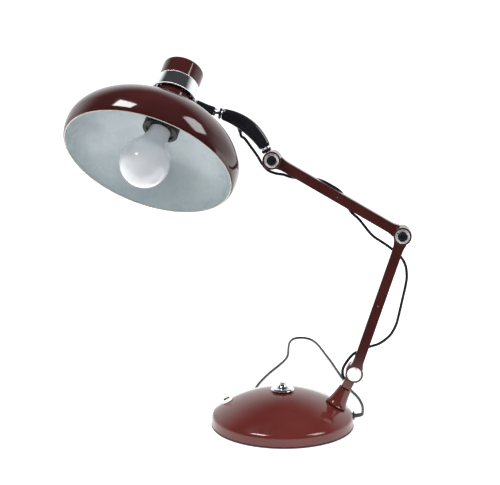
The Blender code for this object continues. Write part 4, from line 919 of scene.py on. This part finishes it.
def build_head():
    build_shade()
    roof = COLLAR_TOP - 0.0016
    collar = spun("chrome_collar", [
        (0.0054, COLLAR_TOP), (0.0248, COLLAR_TOP),
        *rounded((0.0250, COLLAR_TOP - 0.0007), 0.0007, 80, 0, 3),
        (0.0281, COLLAR_BOTTOM + 0.0012), (0.0283, COLLAR_BOTTOM + 0.0006), (0.0279, COLLAR_BOTTOM),
        (0.0266, COLLAR_BOTTOM), (0.0242, roof), (0.0054, roof)], 128, True)
    finished(collar, CHROME, "head", ["head_collar"], 35, SHADE_FRAME)
    # Painted highlights: two thin bright rings on the collar's top and bottom edges stand in for the
    # chrome's edge glints.
    for tag, reach, height in (("upper", 0.0252, COLLAR_TOP - 0.0003),
                               ("lower", 0.0280, COLLAR_BOTTOM + 0.0003)):
        highlight_ring = spun(f"collar_painted_highlight_{tag}", rounded((reach, height), 0.0005, 0, 330, 11), 128, True)
        finished(highlight_ring, REFLECTION_WHITE_PLATE, "head", (), 60, SHADE_FRAME)
    low = COLLAR_TOP + 0.0003
    cap = spun("cap_shell", [
        (0.0, CAP_TOP), (0.0215, CAP_TOP), *rounded((0.0218, CAP_TOP - 0.0034), 0.0034, 85, 0, 8),
        (0.0252, low + 0.0016), *rounded((0.0248, low + 0.0004), 0.0004, 0, -90, 3),
        (0.0238, low), (0.0238, CAP_TOP - 0.0040), (0.0218, CAP_TOP - 0.0016),
        (0.0, CAP_TOP - 0.0016)], 128)
    finished(cap, SHADE_ENAMEL_SHADED_COPY, "head", ["head_cap"], 35, SHADE_FRAME)

    mouth, top = HOLDER_MOUTH, NECK_TOP - SHADE_WALL - 0.0003
    holder = spun("lampholder_shell", [
        (0.0054, top), (0.0148, top), *rounded((0.0150, top - 0.0050), 0.0050, 85, 0, 6),
        (0.0200, mouth + 0.0190), (0.0166, mouth + 0.0190), (0.0166, mouth + 0.0020),
        (0.0140, mouth + 0.0020), (0.0140, mouth + 0.0320), (0.0054, mouth + 0.0320)], 80, True)
    finished(holder, BAKELITE, "head", ["lampholder"], 35, SHADE_FRAME)
    ribs = []
    for k in range(5):
        z = mouth + 0.0165 - k * 0.0031
        ribs += [(0.0216, z), (0.0216, z - 0.0018), (0.0212, z - 0.0021), (0.0212, z - 0.0028)]
    skirt = spun("lampholder_ring", [
        (0.0170, mouth + 0.0185), *rounded((0.0208, mouth + 0.0177), 0.0008, 90, 0, 4), *ribs,
        *rounded((0.0208, mouth + 0.0010), 0.0010, 0, -90, 5), (0.0170, mouth)], 96, True)
    finished(skirt, BAKELITE, "head", ["lampholder_skirt"], 35, SHADE_FRAME)

    glass_top = mouth + 0.0016
    glass = [(0.0, BULB_CENTRE - BULB_RADIUS), *arc(BULB_RADIUS, range(-86, 35, 4), BULB_CENTRE)]
    end_r, end_z = glass[-1]
    slope = (-math.sin(math.radians(34)), math.cos(math.radians(34)))
    neck = (0.0131, glass_top - 0.0040)
    for k in range(1, 15):
        t = k / 14
        h00, h10 = 2 * t ** 3 - 3 * t ** 2 + 1, t ** 3 - 2 * t ** 2 + t
        h01, h11 = -2 * t ** 3 + 3 * t ** 2, t ** 3 - t ** 2
        reach = 0.028
        glass.append((h00 * end_r + h10 * slope[0] * reach + h01 * neck[0],
                      h00 * end_z + h10 * slope[1] * reach + h01 * neck[1] + h11 * reach))
    bulb = spun("bulb_envelope", [*glass, (0.0130, glass_top), (0.0, glass_top)], 96)
    # The bulb leans a little in its holder.
    lean = (Matrix.Translation((0, 0, mouth)) @ Matrix.Rotation(BULB_LEAN, 4, BULB_LEAN_AXIS)
            @ Matrix.Translation((0, 0, -mouth)))
    finished(bulb, OPAL, "head", ["bulb_glass"], 45, SHADE_FRAME @ lean)

    out = HEAD_FRAME @ Matrix.Rotation(-math.pi / 2, 4, "Y")
    root = STEM_LENGTH - 0.0285
    cup = arc(SOCKET_RADIUS, range(16, 91, 8))
    stem = spun("stem_taper", [(0.0, root + 0.0040), (0.0025, root + 0.0040), (0.0025, root - 0.0004),
                               (0.0036, root - 0.0006), (0.0038, root - 0.0018), (0.0047, 0.0120),
                               (0.0061, 0.0030), *rounded((0.0056, 0.0017), 0.0005, 0, -90, 4), *cup[:-1],
                               (0.0, SOCKET_RADIUS)], 64)
    finished(stem, GLOSS_BLACK, "head", ["stem"], 35, out)
    inner = arc(SOCKET_RADIUS, range(-28, 9, 6))
    ferrule = spun("ball_ferrule", [*inner, (0.0054, 0.0009), *rounded((0.0053, 0.0005), 0.0004, 60, 0, 3),
                                    *rounded((0.0051, -0.0016), 0.0006, 0, -90, 4)], 64, True)
    finished(ferrule, CHROME, "ferrule", ["ferrule"], 35, out)


build_head()

# ---------------------------------------------------------------- lamp flex
WRIST_LOOP = [
    (-0.0475, -0.0050, 0.3640), (-0.0390, -0.0020, 0.3520), (-0.0325, 0.0020, 0.3420),
    (-0.0275, 0.0060, 0.3325), (-0.0200, 0.0090, 0.3240), (-0.0105, 0.0110, 0.3200),
    (-0.0016, 0.0125, 0.3186),
]
UPPER_RUN = [
    (-0.0016, 0.0125, 0.3186), (0.0073, 0.0145, 0.3155), (0.0201, 0.0153, 0.3138),
    (0.0337, 0.0155, 0.3136), (0.0452, 0.0155, 0.3115), (0.0578, 0.0157, 0.3054),
    (0.0695, 0.0155, 0.2977), (0.0741, 0.0153, 0.2896), (0.0784, 0.0150, 0.2808),
    (0.0829, 0.0145, 0.2726),
]
ELBOW_LOOP = [
    (0.0829, 0.0145, 0.2726), (0.0927, 0.0135, 0.2640), (0.1040, 0.0115, 0.2505),
    (0.1115, 0.0095, 0.2432), (0.1214, 0.0080, 0.2371), (0.1320, 0.0070, 0.2300),
]
LOWER_RUN = [
    (0.1320, 0.0070, 0.2300), (0.1448, 0.0066, 0.2190), (0.1506, 0.0064, 0.2090),
    (0.1526, 0.0062, 0.1975), (0.1520, 0.0060, 0.1865), (0.1476, 0.0058, 0.1635),
    (0.1443, 0.0056, 0.1470), (0.1407, 0.0054, 0.1325), (0.1334, 0.0052, 0.1190),
    (0.1211, 0.0050, 0.1087),
]
SHOULDER_LOOP = [
    (0.1211, 0.0050, 0.1087), (0.1087, 0.0050, 0.1040), (0.0965, 0.0050, 0.0990),
    (0.0873, 0.0050, 0.0925), (0.0798, 0.0050, 0.0825), (0.0757, 0.0050, 0.0738),
    (0.0757, 0.0045, 0.0665), (0.0783, 0.0045, 0.0610), (0.0808, 0.0045, 0.0572),
]


def build_flex():
    """One smooth line from the grip to the pedestal, split where it crosses each joint."""
    wrist = [NUB_TIP - NUB_WAY * 0.0005, NUB_TIP + NUB_WAY * 0.005] + [Vector(p) for p in WRIST_LOOP]
    routes = [("flex_at_wrist", wrist, "flex_wrist_loop", ("handle", "upper_arm")),
              ("flex_on_upper_arm", UPPER_RUN, "flex_upper_run", ("upper_arm",)),
              ("flex_at_elbow", ELBOW_LOOP, "flex_elbow_loop", ("upper_arm", "lower_arm")),
              ("flex_on_lower_arm", LOWER_RUN, "flex_lower_run", ("lower_arm",)),
              ("flex_at_shoulder", SHOULDER_LOOP, "flex_shoulder_loop", ("lower_arm", "yoke"))]
    whole = []
    for name, route, node, bodies in routes:
        whole += [Vector(p) for p in (route if not whole else route[1:])]
    line = curved(whole, 0.0012)
    start = 0
    for name, route, node, bodies in routes:
        goal = Vector(route[-1])
        stop = min(range(len(line)), key=lambda i: (line[i] - goal).length)
        stretch = line[start:stop + 1]
        piece = tube(name, stretch, [CORD / 2] * len(stretch))
        if len(bodies) == 1:
            finished(piece, SHEATH, bodies[0], [node], 60)
        else:
            alone(piece)
            bpy.ops.object.shade_smooth_by_angle(angle=math.radians(60))
            piece.data.materials.append(SHEATH.material)
            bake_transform(piece)
            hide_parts(node)
        start = stop


build_flex()


# ---------------------------------------------------------------- floor and light
def build_studio():
    bpy.ops.object.select_all(action="DESELECT")
    bpy.ops.mesh.primitive_plane_add(size=FLOOR_SIZE)
    floor = bpy.context.active_object
    floor.name = "floor"
    edit(floor)
    bpy.ops.mesh.select_all(action="SELECT")
    bpy.ops.transform.translate(value=(0, FLOOR_SIZE / 2 - FLOOR_FRONT, -FLOOR_DROP))
    done()
    # Painted light: the floor glows more the further it is from the lamp, making the far floor white where
    # the lamps reach less.
    paper = bpy.data.materials.new("floor_paper")
    paper.use_nodes = True
    tree = paper.node_tree
    shader = tree.nodes["Principled BSDF"]
    shader.inputs["Base Color"].default_value = (0.90, 0.90, 0.90, 1)
    shader.inputs["Roughness"].default_value = 0.9
    shader.inputs["Specular IOR Level"].default_value = 0.1
    distance = tree.nodes.new("ShaderNodeVectorMath")
    distance.operation = "LENGTH"
    tree.links.new(tree.nodes.new("ShaderNodeTexCoord").outputs["Object"], distance.inputs[0])
    white = tree.nodes.new("ShaderNodeMapRange")
    spread_over(white, 0.30, 1.20, 0.50, 1.0)
    tree.links.new(distance.outputs["Value"], white.inputs["Value"])
    tree.links.new(white.outputs["Result"], shader.inputs["Emission Color"])
    shader.inputs["Emission Strength"].default_value = 1.0
    floor.data.materials.append(paper)

    world = bpy.data.worlds.new("studio")
    bpy.context.scene.world = world
    world.use_nodes = True
    sky = world.node_tree
    background = sky.nodes["Background"]
    background.inputs["Color"].default_value = (0.97, 0.985, 1.0, 1)
    # The studio is bright beyond the lamp and at its sides, dimmer above and dim behind the camera.
    way = sky.nodes.new("ShaderNodeSeparateXYZ")
    sky.links.new(sky.nodes.new("ShaderNodeTexCoord").outputs["Generated"], way.inputs[0])
    side = Flow(sky, way.outputs["X"]).math("ABSOLUTE")
    above = Flow(sky, way.outputs["Z"]).math("MAXIMUM", 0.0)
    amount = Flow(sky, way.outputs["Y"]) + side * 0.5 - above * 0.5
    dim = sky.nodes.new("ShaderNodeMapRange")
    dim.interpolation_type = "SMOOTHSTEP"
    spread_over(dim, 0.15, 0.80, 0.06, 1.2)
    sky.links.new(amount.socket, dim.inputs["Value"])
    sky.links.new(dim.outputs["Result"], background.inputs["Strength"])

    for name, place, aim, size, power in (
            ("key", (-0.9, -0.9, 1.7), (-0.1, 0, 0.3), (0.7, 0.6), 30.0),
            ("fill", (1.3, -0.5, 1.2), (0.0, 0, 0.2), (0.6, 0.8), 15.0),
            ("front", (-0.2, -2.2, 0.7), (-0.1, 0, 0.3), (1.6, 1.2), 21.0),
            ("top", (0.1, 0.4, 2.0), (0.0, 0, 0.1), (1.2, 0.9), 20.0)):
        data = bpy.data.lights.new(name, "AREA")
        data.shape = "RECTANGLE"
        data.size, data.size_y = size
        data.energy = power
        lamp = bpy.data.objects.new(name, data)
        lamp.location = place
        lamp.visible_glossy = name in ("key", "fill")
        lamp.rotation_euler = (Vector(aim) - Vector(place)).to_track_quat("-Z", "Y").to_euler()
        bpy.context.scene.collection.objects.link(lamp)
    bpy.context.scene.view_settings.view_transform = "Standard"


build_studio()
